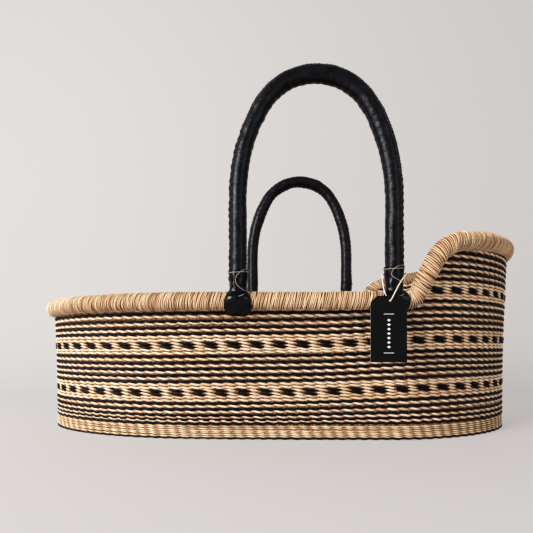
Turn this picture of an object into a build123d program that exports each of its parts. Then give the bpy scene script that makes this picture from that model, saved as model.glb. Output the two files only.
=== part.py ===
from build123d import *
import math
import os

# Oval twined-grass moses basket with a raised head end, a thick wrapped rim and
# two long leather-wrapped handles.  Millimetres, +Z up.  The origin is the
# centre of the base on the surface the basket stands on.  +X points to the
# raised head end, -Y is the front long side.

os.makedirs("parts", exist_ok=True)

# ---------------------------------------------------------------- dimensions
head_end_x = 440.0          # outer wall at the head end
foot_end_x = -393.0         # outer wall at the foot end
base_half_width = 163.0     # outer wall half width at the floor
flare_linear = 0.0497       # outward flare of the long sides, per mm of height
flare_square = 0.000744     # extra flare towards the rim, per mm squared
head_flare = 0.30           # flare of the raised head wall, per mm of height
wall_thickness = 5.0
base_thickness = 6.0
border_height = 20.0        # plain rows at the foot of the wall

rim_z = 211.0               # rim centre line along the low sides
rim_radius = 13.5           # outside of the wrapped rim
rim_core_radius = 10.0
wall_in_rim = 11.5          # the wall stops this far below the rim centre line

handle_x = 77.0             # middle of each handle
leg_half_spacing = 112.0    # leg centres either side of the middle
straight_half = 142.0       # straight length from the middle of the handle towards the foot
arch_top = 328.8            # handle centre line above the rim centre line
arch_radius = 89.0          # top arc of the handle
side_radius = 275.8         # larger arcs that lead into the legs
side_start = 150.0          # height where the legs start to curve in

handle_radius = 12.8        # outside of the leather
handle_core_radius = 10.2
hinge_height = 21.0         # leather hinge above the rim centre line
neck_gap = 6.0              # leather leg starts this far above the hinge
cuff_height = {"left": 18.0, "right": 21.0}
cuff_bottom_radius = 13.4
cuff_top_radius = 14.6
hinge_fold_radius = 4.2     # rolled leather fold that the handle turns on
hinge_fold_width = 22.0
seam_radius = 1.3
thread_radius = 0.6

patch_width = 36.0          # leather patch round the rim under each leg
patch_thickness = 2.9

tag_width = 50.5
tag_height = 92.5
tag_thickness = 1.0
tag_corner = 9.0            # clipped top corners
tag_hole_radius = 2.4
tag_hole_drop = 7.5         # hole centre below the top edge
tag_plane = 22.0            # tag in front of the rim centre line
tag_x = 176.0
string_radius = 0.8
string_height = 40.0        # string loop above the rim centre line


# ---------------------------------------------------------------- plan shape
def half_width(z):
    if z <= rim_z:
        return base_half_width + flare_linear * z + flare_square * z * z
    return half_width(rim_z) + head_flare * (z - rim_z)


head_straight = 207.0
foot_straight = handle_x - straight_half
head_power = 1.75
foot_power = 2.0
lean_foot, lean_top = 1.5, -4.0     # the head end leans in slightly as it rises
rim_tuck = 5.5                      # the rim sits a little inside the wall at the very tip


def half_outline():
    """Front half of the plan from the foot tip to the head tip, as (x, share of the half width)."""
    b = 186.0
    pts = []
    for k in range(301):
        t = math.pi / 2 * k / 300
        pts.append((foot_straight - (foot_straight - foot_end_x) * math.cos(t) ** (2 / foot_power),
                    b * math.sin(t) ** (2 / foot_power)))
    for k in range(1, 80):
        pts.append((foot_straight + (head_straight - foot_straight) * k / 80, b))
    for k in range(301):
        t = math.pi / 2 * k / 300
        pts.append((head_straight + (head_end_x - head_straight) * math.sin(t) ** (2 / head_power),
                    b * math.cos(t) ** (2 / head_power)))
    pts += [(x, -y) for x, y in pts[-2:0:-1]]
    # evenly spaced, then rounded where the curves meet
    pts.append(pts[0])
    n = 520
    run = [0.0]
    for p, q in zip(pts, pts[1:]):
        run.append(run[-1] + math.dist(p, q))
    even, j = [], 0
    for k in range(n):
        s = run[-1] * k / n
        while run[j + 1] < s:
            j += 1
        t = (s - run[j]) / (run[j + 1] - run[j])
        even.append((pts[j][0] + t * (pts[j + 1][0] - pts[j][0]), pts[j][1] + t * (pts[j + 1][1] - pts[j][1])))
    for _ in range(25):
        even = [((even[i - 1][0] + 2 * even[i][0] + even[(i + 1) % n][0]) / 4,
                 (even[i - 1][1] + 2 * even[i][1] + even[(i + 1) % n][1]) / 4) for i in range(n)]
    low, high = min(x for x, y in even), max(x for x, y in even)
    top = max(y for x, y in even)
    knee = head_straight - 20
    out = []
    for x, y in even[:n // 2 + 1]:
        if x > knee:
            x = knee + (x - knee) * (head_end_x - knee) / (high - knee)
        if x < foot_straight:
            x = foot_straight + (x - foot_straight) * (foot_end_x - foot_straight) / (low - foot_straight)
        out.append((x, y / top))
    return out


HALF = half_outline()


def lean(x, z):
    """Shift along X of the head end at a height."""
    return (lean_foot + lean_top * max(z, border_height) / 290) * max(0.0, x - head_straight) / (head_end_x - head_straight)


def plan_points(z, inset):
    """Closed outline of the wall at a height, anticlockwise from the foot tip along the front."""
    b = half_width(z) - inset
    n = 26
    half = []
    for k in range(n + 1):
        q = k * (len(HALF) - 1) / n
        i = min(int(q), len(HALF) - 2)
        t = q - i
        x = HALF[i][0] + t * (HALF[i + 1][0] - HALF[i][0])
        e = HALF[i][1] + t * (HALF[i + 1][1] - HALF[i][1])
        x += lean(x, z)
        if x > head_straight:
            x -= inset * (x - head_straight) / (head_end_x - head_straight)
        if x < foot_straight:
            x += inset * (foot_straight - x) / (foot_straight - foot_end_x)
        half.append((x, -b * e))
    half[0] = (half[0][0], 0.0)
    half[-1] = (half[-1][0], 0.0)
    return half + [(x, -y) for x, y in half[-2:0:-1]]


def rim_height(x):
    """Height of the rim centre line: low along the sides, raised at the head."""
    table = [(214.5, 211), (221, 218.5), (227, 230), (233, 245), (239, 259), (246, 272),
             (255, 283), (267, 290.5), (283, 295), (305, 298), (335, 300.5), (370, 303),
             (405, 305), (440, 306)]
    if x <= table[0][0]:
        return rim_z
    for (x0, z0), (x1, z1) in zip(table, table[1:]):
        if x <= x1:
            return z0 + (z1 - z0) * (x - x0) / (x1 - x0)
    return table[-1][1]


def spaced(points, targets):
    """Points of a polyline at the given lengths along it."""
    out, run, k = [], 0.0, 0
    for p, q in zip(points, points[1:]):
        d = math.dist(p, q)
        while k < len(targets) and targets[k] <= run + d + 1e-9:
            s = (targets[k] - run) / d if d else 0
            out.append(tuple(p[i] + s * (q[i] - p[i]) for i in range(3)))
            k += 1
        run += d
    return out


def length_of(points):
    return sum(math.dist(p, q) for p, q in zip(points, points[1:]))


def corner_radii(points):
    """Each arc is as large as its two runs allow."""
    radii = []
    for a, b, c in zip(points, points[1:], points[2:]):
        u = Vector(*b) - Vector(*a)
        v = Vector(*c) - Vector(*b)
        turn = math.radians(u.get_angle(v))
        radii.append(0.45 * min(u.length, v.length) / math.tan(turn / 2))
    return radii


leg_left_x = handle_x - leg_half_spacing
leg_right_x = handle_x + leg_half_spacing

# head rim, front half: short straight under the patch, then up and round
dense = []
for x, e in HALF:
    if x < 214.5:
        continue
    z = rim_height(x)
    tuck = rim_tuck * ((x - 214.5) / (head_end_x - 214.5)) ** 2
    dense.append((x + lean(x, z) - tuck, -half_width(z) * e, z))
total = length_of(dense)
steps = [16, 36, 57, 80, 106, 136, 170, 206, 242]
rest = total - steps[-1]
count = max(2, round(rest / 34))
steps += [steps[-1] + rest * (k + 0.5) / (count + 0.5) * 0.985 for k in range(count)]
front_half = [(leg_right_x, -half_width(rim_z), rim_z), (214.5, -half_width(rim_z), rim_z)]
front_half += spaced(dense, [s for s in steps if s < total - 12])
head_path = front_half + [(x, -y, z) for x, y, z in front_half[::-1]]

# foot rim: straight under the patch, then round the foot end at one height
b_rim = half_width(rim_z)
dense = [(x, -b_rim * e, rim_z) for x, e in HALF[::-1] if x < foot_straight - 2]
total = length_of(dense)
count = 11
steps = [(k + 1) * total / (count + 0.5) for k in range(count)]
foot_half = [(leg_left_x, -b_rim, rim_z), (foot_straight - 2, -b_rim, rim_z)] + spaced(dense, steps)
foot_path = foot_half + [(x, -y, z) for x, y, z in foot_half[::-1]]

print("head rim radii", [round(r) for r in corner_radii(head_path)])
print("foot rim radii", [round(r) for r in corner_radii(foot_path)])


def save(builder, name):
    builder.part.label = name
    export_step(builder.part, "parts/" + name + ".step")


# ---------------------------------------------------------------- woven shell
# one full-height flared oval shell, from which the woven bands are taken
levels = [0, 20, 70, 120, 165, 211, 312]
with BuildPart() as inner_form:
    for z in levels:
        with BuildSketch(Plane.XY.offset(z)):
            with BuildLine():
                Spline(*[(x, y) for x, y in plan_points(z, wall_thickness)], periodic=True)
            make_face()
    loft()

with BuildPart() as shell:
    for z in levels:
        with BuildSketch(Plane.XY.offset(z)):
            with BuildLine():
                Spline(*[(x, y) for x, y in plan_points(z, 0)], periodic=True)
            make_face()
    loft()
    add(inner_form.part, mode=Mode.SUBTRACT)

# base: flat twined oval panel inside the foot of the wall
with BuildPart() as base_panel:
    with BuildSketch():
        with BuildLine():
            Spline(*[(x, y) for x, y in plan_points(0, wall_thickness)], periodic=True)
        make_face()
    extrude(amount=base_thickness)
save(base_panel, "base_panel")

low_top = rim_z - wall_in_rim
with BuildPart() as base_border:
    add(shell.part)
    split(bisect_by=Plane.XY.offset(border_height), keep=Keep.BOTTOM)
save(base_border, "base_border")

with BuildPart() as wall_weave:
    add(shell.part)
    split(bisect_by=Plane.XY.offset(border_height), keep=Keep.TOP)
    split(bisect_by=Plane.XY.offset(low_top), keep=Keep.BOTTOM)
save(wall_weave, "wall_weave")

# raised head wall: above the low rim line, under the rising rim
profile = [(214.5, low_top - 1), (480, low_top - 1), (480, 306 - wall_in_rim)]
profile += [(x, rim_height(x) - wall_in_rim) for x in (440, 405, 370, 335, 305, 286)]
profile += [(270, 279), (259, 269.5), (251, 258), (244, 244), (238, 230), (231, 214), (224, 204)]
with BuildPart() as head_weave:
    add(shell.part)
    split(bisect_by=Plane.XY.offset(low_top), keep=Keep.TOP)
    with BuildSketch(Plane.XZ.offset(-300)):
        with BuildLine():
            Polyline(*profile, close=True)
        make_face()
    extrude(amount=600, mode=Mode.INTERSECT)
save(head_weave, "head_weave")


# ---------------------------------------------------------------- rim
def rim_piece(points, outer, inner):
    with BuildPart() as piece:
        with BuildLine() as route:
            FilletPolyline(*points, radius=corner_radii(points))
        with BuildSketch(Plane(origin=route.line @ 0, z_dir=route.line % 0)):
            Circle(outer)
            if inner:
                Circle(inner, mode=Mode.SUBTRACT)
        sweep(path=route.line)
    return piece


head_rim_core = rim_piece(head_path, rim_core_radius, 0)
save(head_rim_core, "head_rim_core")
head_rim_wrap = rim_piece(head_path, rim_radius, rim_core_radius)
save(head_rim_wrap, "head_rim_wrap")
foot_rim_core = rim_piece(foot_path, rim_core_radius, 0)
save(foot_rim_core, "foot_rim_core")
foot_rim_wrap = rim_piece(foot_path, rim_radius, rim_core_radius)
save(foot_rim_wrap, "foot_rim_wrap")

for side, y in (("front", -b_rim), ("back", b_rim)):
    with BuildPart() as side_rim_core:
        with BuildSketch(Plane(origin=(leg_left_x, y, rim_z), z_dir=(1, 0, 0))):
            Circle(rim_core_radius)
        extrude(amount=leg_right_x - leg_left_x)
    save(side_rim_core, side + "_rim_core")
    with BuildPart() as side_rim_wrap:
        with BuildSketch(Plane(origin=(leg_left_x, y, rim_z), z_dir=(1, 0, 0))):
            Circle(rim_radius)
            Circle(rim_core_radius, mode=Mode.SUBTRACT)
        extrude(amount=leg_right_x - leg_left_x)
    save(side_rim_wrap, side + "_rim_wrap")

    # leather patches that wrap the rim, open underneath where the wall comes in
    for end, x in (("left", leg_left_x), ("right", leg_right_x)):
        with BuildPart() as rim_patch:
            with BuildSketch(Plane(origin=(x - patch_width / 2, y, rim_z), z_dir=(1, 0, 0))):
                Circle(rim_radius + patch_thickness)
                Circle(rim_radius, mode=Mode.SUBTRACT)
            extrude(amount=patch_width)
            with Locations((x, y * 0.985, rim_z - 15)):
                Box(patch_width + 2, 13, 16, mode=Mode.SUBTRACT)
            fillet(rim_patch.edges().filter_by(GeomType.CIRCLE).filter_by(
                lambda e: abs(e.radius - rim_radius - patch_thickness) < 0.01), 1.2)
        save(rim_patch, side + "_" + end + "_rim_patch")


# ---------------------------------------------------------------- handles
def arch_line(offset, start):
    """Handle centre line in the X-Z plane, moved outwards by offset."""
    w = leg_half_spacing
    cx2, cz2 = w - side_radius, side_start
    cz1 = arch_top - arch_radius
    d = math.hypot(-cx2, cz1 - cz2)
    ux, uz = -cx2 / d, (cz1 - cz2) / d
    r1, r2 = arch_radius + offset, side_radius + offset
    a_end = math.atan2(uz, ux)
    join_x, join_z = r1 * ux, cz1 + r1 * uz
    mid = a_end / 2
    mx, mz = cx2 + r2 * math.cos(mid), cz2 + r2 * math.sin(mid)
    Line((handle_x - w - offset, rim_z + start), (handle_x - w - offset, rim_z + side_start))
    ThreePointArc((handle_x - w - offset, rim_z + side_start), (handle_x - mx, rim_z + mz),
                  (handle_x - join_x, rim_z + join_z))
    ThreePointArc((handle_x - join_x, rim_z + join_z), (handle_x, rim_z + cz1 + r1),
                  (handle_x + join_x, rim_z + join_z))
    ThreePointArc((handle_x + join_x, rim_z + join_z), (handle_x + mx, rim_z + mz),
                  (handle_x + w + offset, rim_z + side_start))
    Line((handle_x + w + offset, rim_z + side_start), (handle_x + w + offset, rim_z + start))


leg_start = hinge_height + neck_gap
cuff_zero = rim_z + leg_start

for side, y in (("front", -b_rim), ("back", b_rim)):
    # stiff grass rope core
    with BuildPart() as handle_core:
        with BuildLine(Plane.XZ.offset(-y)) as route:
            arch_line(0, leg_start + 3)
        with BuildSketch(Plane(origin=route.line @ 0, z_dir=route.line % 0)):
            Circle(handle_core_radius)
        sweep(path=route.line)
    save(handle_core, side + "_handle_core")

    # leather sleeve sewn round the core
    with BuildPart() as handle_leather:
        with BuildLine(Plane.XZ.offset(-y)) as route:
            arch_line(0, leg_start + 3)
        with BuildSketch(Plane(origin=route.line @ 0, z_dir=route.line % 0)):
            Circle(handle_radius)
            Circle(handle_core_radius, mode=Mode.SUBTRACT)
        sweep(path=route.line)
    save(handle_leather, side + "_handle_leather")

    # whip-stitched seam, a cord-like ridge along the outside of the arch
    with BuildPart() as handle_seam:
        with BuildLine(Plane.XZ.offset(-y)) as route:
            arch_line(handle_radius + seam_radius - 0.5, leg_start + 26)
        with BuildSketch(Plane(origin=route.line @ 0, z_dir=route.line % 0)):
            Circle(seam_radius)
        sweep(path=route.line)
    save(handle_seam, side + "_handle_seam")

    for end, x in (("left", leg_left_x), ("right", leg_right_x)):
        # flared leather cuff with a rolled fold underneath that the leg turns on
        with BuildPart() as cuff:
            with BuildSketch(Plane(origin=(x, y, 0)).offset(cuff_zero)):
                Circle(cuff_bottom_radius)
            with BuildSketch(Plane(origin=(x, y, 0)).offset(cuff_zero + cuff_height[end])):
                Circle(cuff_top_radius)
            loft()
            with BuildSketch(Plane(origin=(x, y, 0)).offset(cuff_zero + 3)):
                Circle(handle_radius)
            extrude(amount=cuff_height[end], mode=Mode.SUBTRACT)
            with BuildSketch(Plane(origin=(x - hinge_fold_width / 2, y, rim_z + hinge_height), z_dir=(1, 0, 0),
                                   x_dir=(0, 1, 0))):
                Circle(hinge_fold_radius)
                with Locations((0, neck_gap / 2)):
                    Rectangle(2 * hinge_fold_radius, neck_gap)
            extrude(amount=hinge_fold_width)
        save(cuff, side + "_" + end + "_cuff")

        # waxed thread tied round the neck of the cuff
        with BuildPart() as thread:
            for k in range(2):
                with BuildSketch(Plane(origin=(x, y, 0), x_dir=(1, 0, 0), z_dir=(0, -1, 0))):
                    with Locations((cuff_top_radius + 1.0 + thread_radius,
                                    cuff_zero + cuff_height[end] - 1.6 - 1.3 * k)):
                        Circle(thread_radius)
                revolve(axis=Axis((x, y, 0), (0, 0, 1)))
        save(thread, side + "_" + end + "_thread")

# ---------------------------------------------------------------- hang tag
hole_z = rim_z - 3.0
tag_top = hole_z + tag_hole_drop
tag_y = -b_rim - tag_plane
with BuildPart() as hang_tag:
    with BuildSketch(Plane(origin=(tag_x, tag_y - tag_thickness / 2, 0), x_dir=(1, 0, 0), z_dir=(0, 1, 0))) as card:
        with BuildLine():
            h = tag_width / 2
            Polyline((-h, -(tag_top - tag_height)), (-h, -(tag_top - tag_corner)),
                     (-h + tag_corner, -tag_top), (h - tag_corner, -tag_top),
                     (h, -(tag_top - tag_corner)), (h, -(tag_top - tag_height)), close=True)
        make_face()
        with Locations((1.5, -hole_z)):
            Circle(tag_hole_radius, mode=Mode.SUBTRACT)
    extrude(amount=tag_thickness)
save(hang_tag, "hang_tag")

# string: from one side of the leg, behind the card, through its hole and back up in front of the cuff
string_all = [
    (leg_right_x - 17.4, -b_rim - 1.6, rim_z + string_height - 1.4),
    (leg_right_x - 18.6, -b_rim - 8.6, rim_z + string_height - 8.6),
    (leg_right_x - 19.9, -b_rim - 16.0, rim_z + string_height - 18.4),
    (leg_right_x - 18.7, -b_rim - 19.4, rim_z + string_height - 29.0),
    (leg_right_x - 15.6, -b_rim - 19.8, rim_z + string_height - 36.5),
    (leg_right_x - 12.2, -b_rim - 20.2, rim_z + string_height - 41.7),
    (leg_right_x - 11.5, -b_rim - 22.0, rim_z + string_height - 43.1),
    (leg_right_x - 10.7, -b_rim - 24.2, rim_z + string_height - 42.2),
    (leg_right_x - 6.5, -b_rim - 25.6, rim_z + string_height - 33.5),
    (leg_right_x + 0.5, -b_rim - 24.6, rim_z + string_height - 20.0),
    (leg_right_x + 8.4, -b_rim - 18.6, rim_z + string_height - 9.4),
    (leg_right_x + 15.4, -b_rim - 9.8, rim_z + string_height - 4.0),
    (leg_right_x + 17.4, -b_rim - 1.6, rim_z + string_height - 1.4),
]
print("string radii", [round(r, 1) for r in corner_radii(string_all)], "length", round(length_of(string_all), 1))
with BuildPart() as tag_string:
    with BuildLine() as route:
        FilletPolyline(*string_all, radius=corner_radii(string_all))
    with BuildSketch(Plane(origin=route.line @ 0, z_dir=route.line % 0)):
        Circle(string_radius)
    sweep(path=route.line)
save(tag_string, "tag_string")
print("string volume", round(tag_string.part.volume, 1), "section x length",
      round(math.pi * string_radius ** 2 * sum(e.length for e in route.line.edges()), 1))

# the string goes on round the back of the leg
with BuildPart() as tag_string_loop:
    with BuildLine(Plane.XY.offset(rim_z + string_height - 1.0)) as route:
        ThreePointArc((leg_right_x - 17.4, -b_rim + 0.8), (leg_right_x, -b_rim + 17.4), (leg_right_x + 17.4, -b_rim + 0.8))
    with BuildSketch(Plane(origin=route.line @ 0, z_dir=route.line % 0)):
        Circle(string_radius)
    sweep(path=route.line)
save(tag_string_loop, "tag_string_loop")
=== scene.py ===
import bpy
import math
import numpy as np
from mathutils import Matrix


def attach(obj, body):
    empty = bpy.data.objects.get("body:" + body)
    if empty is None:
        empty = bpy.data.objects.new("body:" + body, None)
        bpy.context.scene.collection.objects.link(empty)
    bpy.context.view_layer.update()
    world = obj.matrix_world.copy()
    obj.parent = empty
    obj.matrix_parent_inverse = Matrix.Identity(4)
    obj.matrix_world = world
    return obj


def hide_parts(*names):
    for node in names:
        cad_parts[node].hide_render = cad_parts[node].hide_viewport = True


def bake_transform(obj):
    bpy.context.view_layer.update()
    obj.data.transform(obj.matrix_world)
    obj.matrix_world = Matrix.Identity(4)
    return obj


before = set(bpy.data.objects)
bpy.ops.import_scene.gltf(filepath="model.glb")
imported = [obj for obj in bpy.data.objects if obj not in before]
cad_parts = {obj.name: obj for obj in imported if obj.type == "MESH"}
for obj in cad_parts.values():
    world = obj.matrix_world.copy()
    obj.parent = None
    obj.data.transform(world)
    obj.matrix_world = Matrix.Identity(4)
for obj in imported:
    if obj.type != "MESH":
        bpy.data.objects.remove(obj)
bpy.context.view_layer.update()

MM = 0.001
rng = np.random.default_rng(11)

# ------------------------------------------------------------------ shape
HEAD_X, FOOT_X = 440.0, -393.0
RIM_Z, RIM_R, CORE_R = 211.0, 13.5, 10.0
HX, LEG = 77.0, 112.0
HINGE = 21.0
STRAIGHT0, STRAIGHT1 = -65.0, 207.0
HEAD_N, FOOT_N = 1.75, 2.0


def half_width(z):
    z = np.asarray(z, float)
    low = 163.0 + 0.0497 * z + 0.000744 * z * z
    top = 163.0 + 0.0497 * RIM_Z + 0.000744 * RIM_Z * RIM_Z
    return np.where(z <= RIM_Z, low, top + 0.30 * (z - RIM_Z))


B_RIM = float(half_width(RIM_Z))


def lean(x, z):
    """The head end leans in slightly as it rises."""
    return (1.5 - 4.0 * np.maximum(z, 20.0) / 290) * np.clip((x - STRAIGHT1) / (HEAD_X - STRAIGHT1), 0, None)


def plan_curve():
    """Closed plan outline, X in mm and Y as a share of the half width, anticlockwise from the middle of the front."""
    b = 186.0

    def quarter(a, n, m=300):
        t = np.linspace(0, math.pi / 2, m)
        return a * np.sin(t) ** (2 / n), b * np.cos(t) ** (2 / n)
    hx_, hy_ = quarter(HEAD_X - STRAIGHT1, HEAD_N)
    fx_, fy_ = quarter(STRAIGHT0 - FOOT_X, FOOT_N)
    front = np.linspace(STRAIGHT0, STRAIGHT1, 80)[1:-1]
    x = np.concatenate([STRAIGHT0 - fx_[::-1], front, STRAIGHT1 + hx_, (STRAIGHT1 + hx_)[-2::-1], front[::-1], (STRAIGHT0 - fx_)[:-1]])
    y = np.concatenate([-fy_[::-1], -b + 0 * front, -hy_, hy_[-2::-1], b + 0 * front, fy_[:-1]])
    # evenly spaced, then rounded where the quarters meet
    for _ in range(2):
        xc, yc = np.r_[x, x[0]], np.r_[y, y[0]]
        s = np.r_[0, np.cumsum(np.hypot(np.diff(xc), np.diff(yc)))]
        n = 520
        t = np.linspace(0, s[-1], n, endpoint=False)
        x, y = np.interp(t, s, xc), np.interp(t, s, yc)
        if _ == 0:
            for k in range(25):
                x = (np.roll(x, 1) + 2 * x + np.roll(x, -1)) / 4
                y = (np.roll(y, 1) + 2 * y + np.roll(y, -1)) / 4
            x = np.where(x > STRAIGHT1 - 20, STRAIGHT1 - 20 + (x - STRAIGHT1 + 20) * (HEAD_X - STRAIGHT1 + 20) / (x.max() - STRAIGHT1 + 20), x)
            x = np.where(x < STRAIGHT0, STRAIGHT0 + (x - STRAIGHT0) * (FOOT_X - STRAIGHT0) / (x.min() - STRAIGHT0), x)
            y = y * b / np.abs(y).max()
    i = int(np.argmin(np.where(y < 0, np.abs(x - HX), 1e9)))
    x, y = np.roll(x, -i), np.roll(y, -i)
    length = np.hypot(np.diff(np.r_[x, x[0]]), np.diff(np.r_[y, y[0]])).sum()
    return x, y / b, length


PX, PE, PERIM = plan_curve()
PN = len(PX)


def plan(p):
    """X and share of half width at p, the fraction of the way round from the middle of the front."""
    q = (np.asarray(p, float) % 1.0) * PN
    i = np.floor(q).astype(int) % PN
    t = q - np.floor(q)
    # cubic through four points, so that tangents turn smoothly
    def cub(a):
        p0, p1, p2, p3 = a[(i - 1) % PN], a[i], a[(i + 1) % PN], a[(i + 2) % PN]
        return p1 + 0.5 * t * (p2 - p0 + t * (2 * p0 - 5 * p1 + 4 * p2 - p3 + t * (3 * (p1 - p2) + p3 - p0)))
    return cub(PX), cub(PE)


def p_of_x(x, side=-1):
    """Fraction round at X on the front (-1) or back (+1)."""
    p = np.linspace(0, 1, 8001)
    px, pe = plan(p)
    d = np.where(pe * side > 0.0, np.abs(px - x), 1e9)
    return float(p[int(np.argmin(d))])


def surf(p, z):
    """Point on the outer wall, with tangent, up and outward normal."""
    p = np.asarray(p, float)
    z = np.asarray(z, float) + 0 * p
    x, e = plan(p)
    e0 = 1e-4
    xa, ea = plan(p - e0)
    xb, eb = plan(p + e0)
    b = half_width(z)
    db = (half_width(z + 1) - half_width(z - 1)) / 2
    P = np.stack([x + lean(x, z), e * b, z], -1)
    T = np.stack([xb - xa, (eb - ea) * b, 0 * x], -1)
    T /= np.linalg.norm(T, axis=-1, keepdims=True)
    U = np.stack([0 * x, e * db, 1 + 0 * x], -1)
    U /= np.linalg.norm(U, axis=-1, keepdims=True)
    N = np.cross(T, U)
    N /= np.linalg.norm(N, axis=-1, keepdims=True)
    return P, T, U, N


RIM_TABLE = np.array([(150, 211), (205, 211), (214.5, 211.6), (221, 218.0), (227, 229.5), (233, 244), (239, 258), (246, 271),
                      (255, 282), (267, 289.8), (283, 294.5), (305, 297.6), (335, 300.5), (370, 303), (405, 305), (440, 306)], float)


def rim_height(x):
    x = np.asarray(x, float)
    out = 0
    for d, w in ((-5, .1), (-2.5, .25), (0, .3), (2.5, .25), (5, .1)):
        out = out + w * np.interp(x + d, RIM_TABLE[:, 0], RIM_TABLE[:, 1])
    return out


# stakes and dot phase: the stakes are counted from X = 31.7 on the front
N_STAKES = 2 * int(round(PERIM / 17.4 / 2))
P_DOT = p_of_x(31.7)


def stake_u(p):
    return (np.asarray(p) - P_DOT) * N_STAKES


ROW_Z = {39: 25.3, 37: 31.8, 35: 39.6, 33: 48.6, 31: 58.0, 23: 92.2, 21: 101.8, 19: 111.2, 17: 121.2, 15: 131.0,
         7: 165.0, 5: 174.0, 3: 184.0, 1: 194.3, -1: 204.8, -9: 235.5, -17: 272.0, -19: 281.0}
_k = np.array(sorted(ROW_Z))
_v = np.array([ROW_Z[k] for k in _k])


ROW_X = np.array([-393, -250, -174, -97, -20, 56, 133, 205, 277, 330, 390, 440], float)
ROW_LIFT = {18: np.array([0, 0, 0, 0, 0, 0, 0, 0, 0, 0, 0, 0.0]),
            45: np.array([-2.4, -2.6, -2.7, -1.7, -0.8, 0, 2.4, 3.6, 4.6, 5.0, 4.8, 4.6]),
            115: np.array([-3.0, -3.0, -2.8, -1.0, -0.3, 0.5, 1.3, 1.6, 1.8, 1.2, 0.6, 0.4]),
            190: np.array([-1.4, -1.4, -1.4, -1.0, -0.5, 0, 0, 0, 0, 0, 0.4, 0.6]),
            300: np.array([0, 0, 0, 0, 0, 0, 0, 0, 1.0, 1.6, 3.0, 3.4])}


def row_height(r, x):
    z = float(np.interp(r, _k, _v))
    x = np.asarray(x, float)
    t = np.clip((x - 60) / 250, 0, 1)
    t = t * t * (3 - 2 * t)
    zs = sorted(ROW_LIFT)
    lift = sum(w * np.interp(x + d, ROW_X, np.array([np.interp(z, zs, [ROW_LIFT[q][i] for q in zs]) for i in range(len(ROW_X))]))
               for d, w in ((-30, .15), (-15, .2), (0, .3), (15, .2), (30, .15)))
    return z + 6.5 * t * np.clip((z - 20) / 100, 0, 1) + lift


def drift(r):
    """Each row's stitches stand a little to the right of those in the row above."""
    return 0.35 - 0.047 * (27 - np.asarray(r, float))


# ------------------------------------------------------------------ mesh helpers
def unit(v):
    return v / np.maximum(np.linalg.norm(v, axis=-1, keepdims=True), 1e-12)


def make_mesh(name, V, quads, tris=None, uv=None, bake_uv=None, col=None, material=None, smooth=True):
    """V in mm; quads and tris are vertex index arrays; uv arrays are one pair per loop, quads first."""
    quads = np.asarray(quads, np.int64).reshape(-1, 4)
    tris = np.zeros((0, 3), np.int64) if tris is None else np.asarray(tris, np.int64).reshape(-1, 3)
    me = bpy.data.meshes.new(name)
    me.vertices.add(len(V))
    me.vertices.foreach_set("co", (np.asarray(V, np.float64) * MM).astype(np.float32).ravel())
    loops = np.concatenate([quads.ravel(), tris.ravel()])
    me.loops.add(len(loops))
    me.loops.foreach_set("vertex_index", loops.astype(np.int32))
    nf = len(quads) + len(tris)
    me.polygons.add(nf)
    start = np.concatenate([np.arange(len(quads)) * 4, len(quads) * 4 + np.arange(len(tris)) * 3]).astype(np.int32)
    me.polygons.foreach_set("loop_start", start)
    me.polygons.foreach_set("use_smooth", np.full(nf, smooth))
    me.update(calc_edges=True)
    for nm, a in (("Strand", uv), ("OFBake", bake_uv)):
        if a is not None:
            layer = me.uv_layers.new(name=nm)
            layer.data.foreach_set("uv", np.asarray(a, np.float32).ravel())
    if col is not None:
        ca = me.color_attributes.new("Col", "FLOAT_COLOR", "POINT")
        c = np.ones((len(V), 4), np.float32)
        c[:, :col.shape[1]] = col
        ca.data.foreach_set("color", c.ravel())
    me.validate()
    ob = bpy.data.objects.new(name, me)
    bpy.context.scene.collection.objects.link(ob)
    if material is not None:
        me.materials.append(material)
    return ob


def cell_grid(n, length, width):
    cols = max(1, int(round(math.sqrt(n * width / length))))
    rows = int(math.ceil(n / cols))
    return cols, rows


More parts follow.
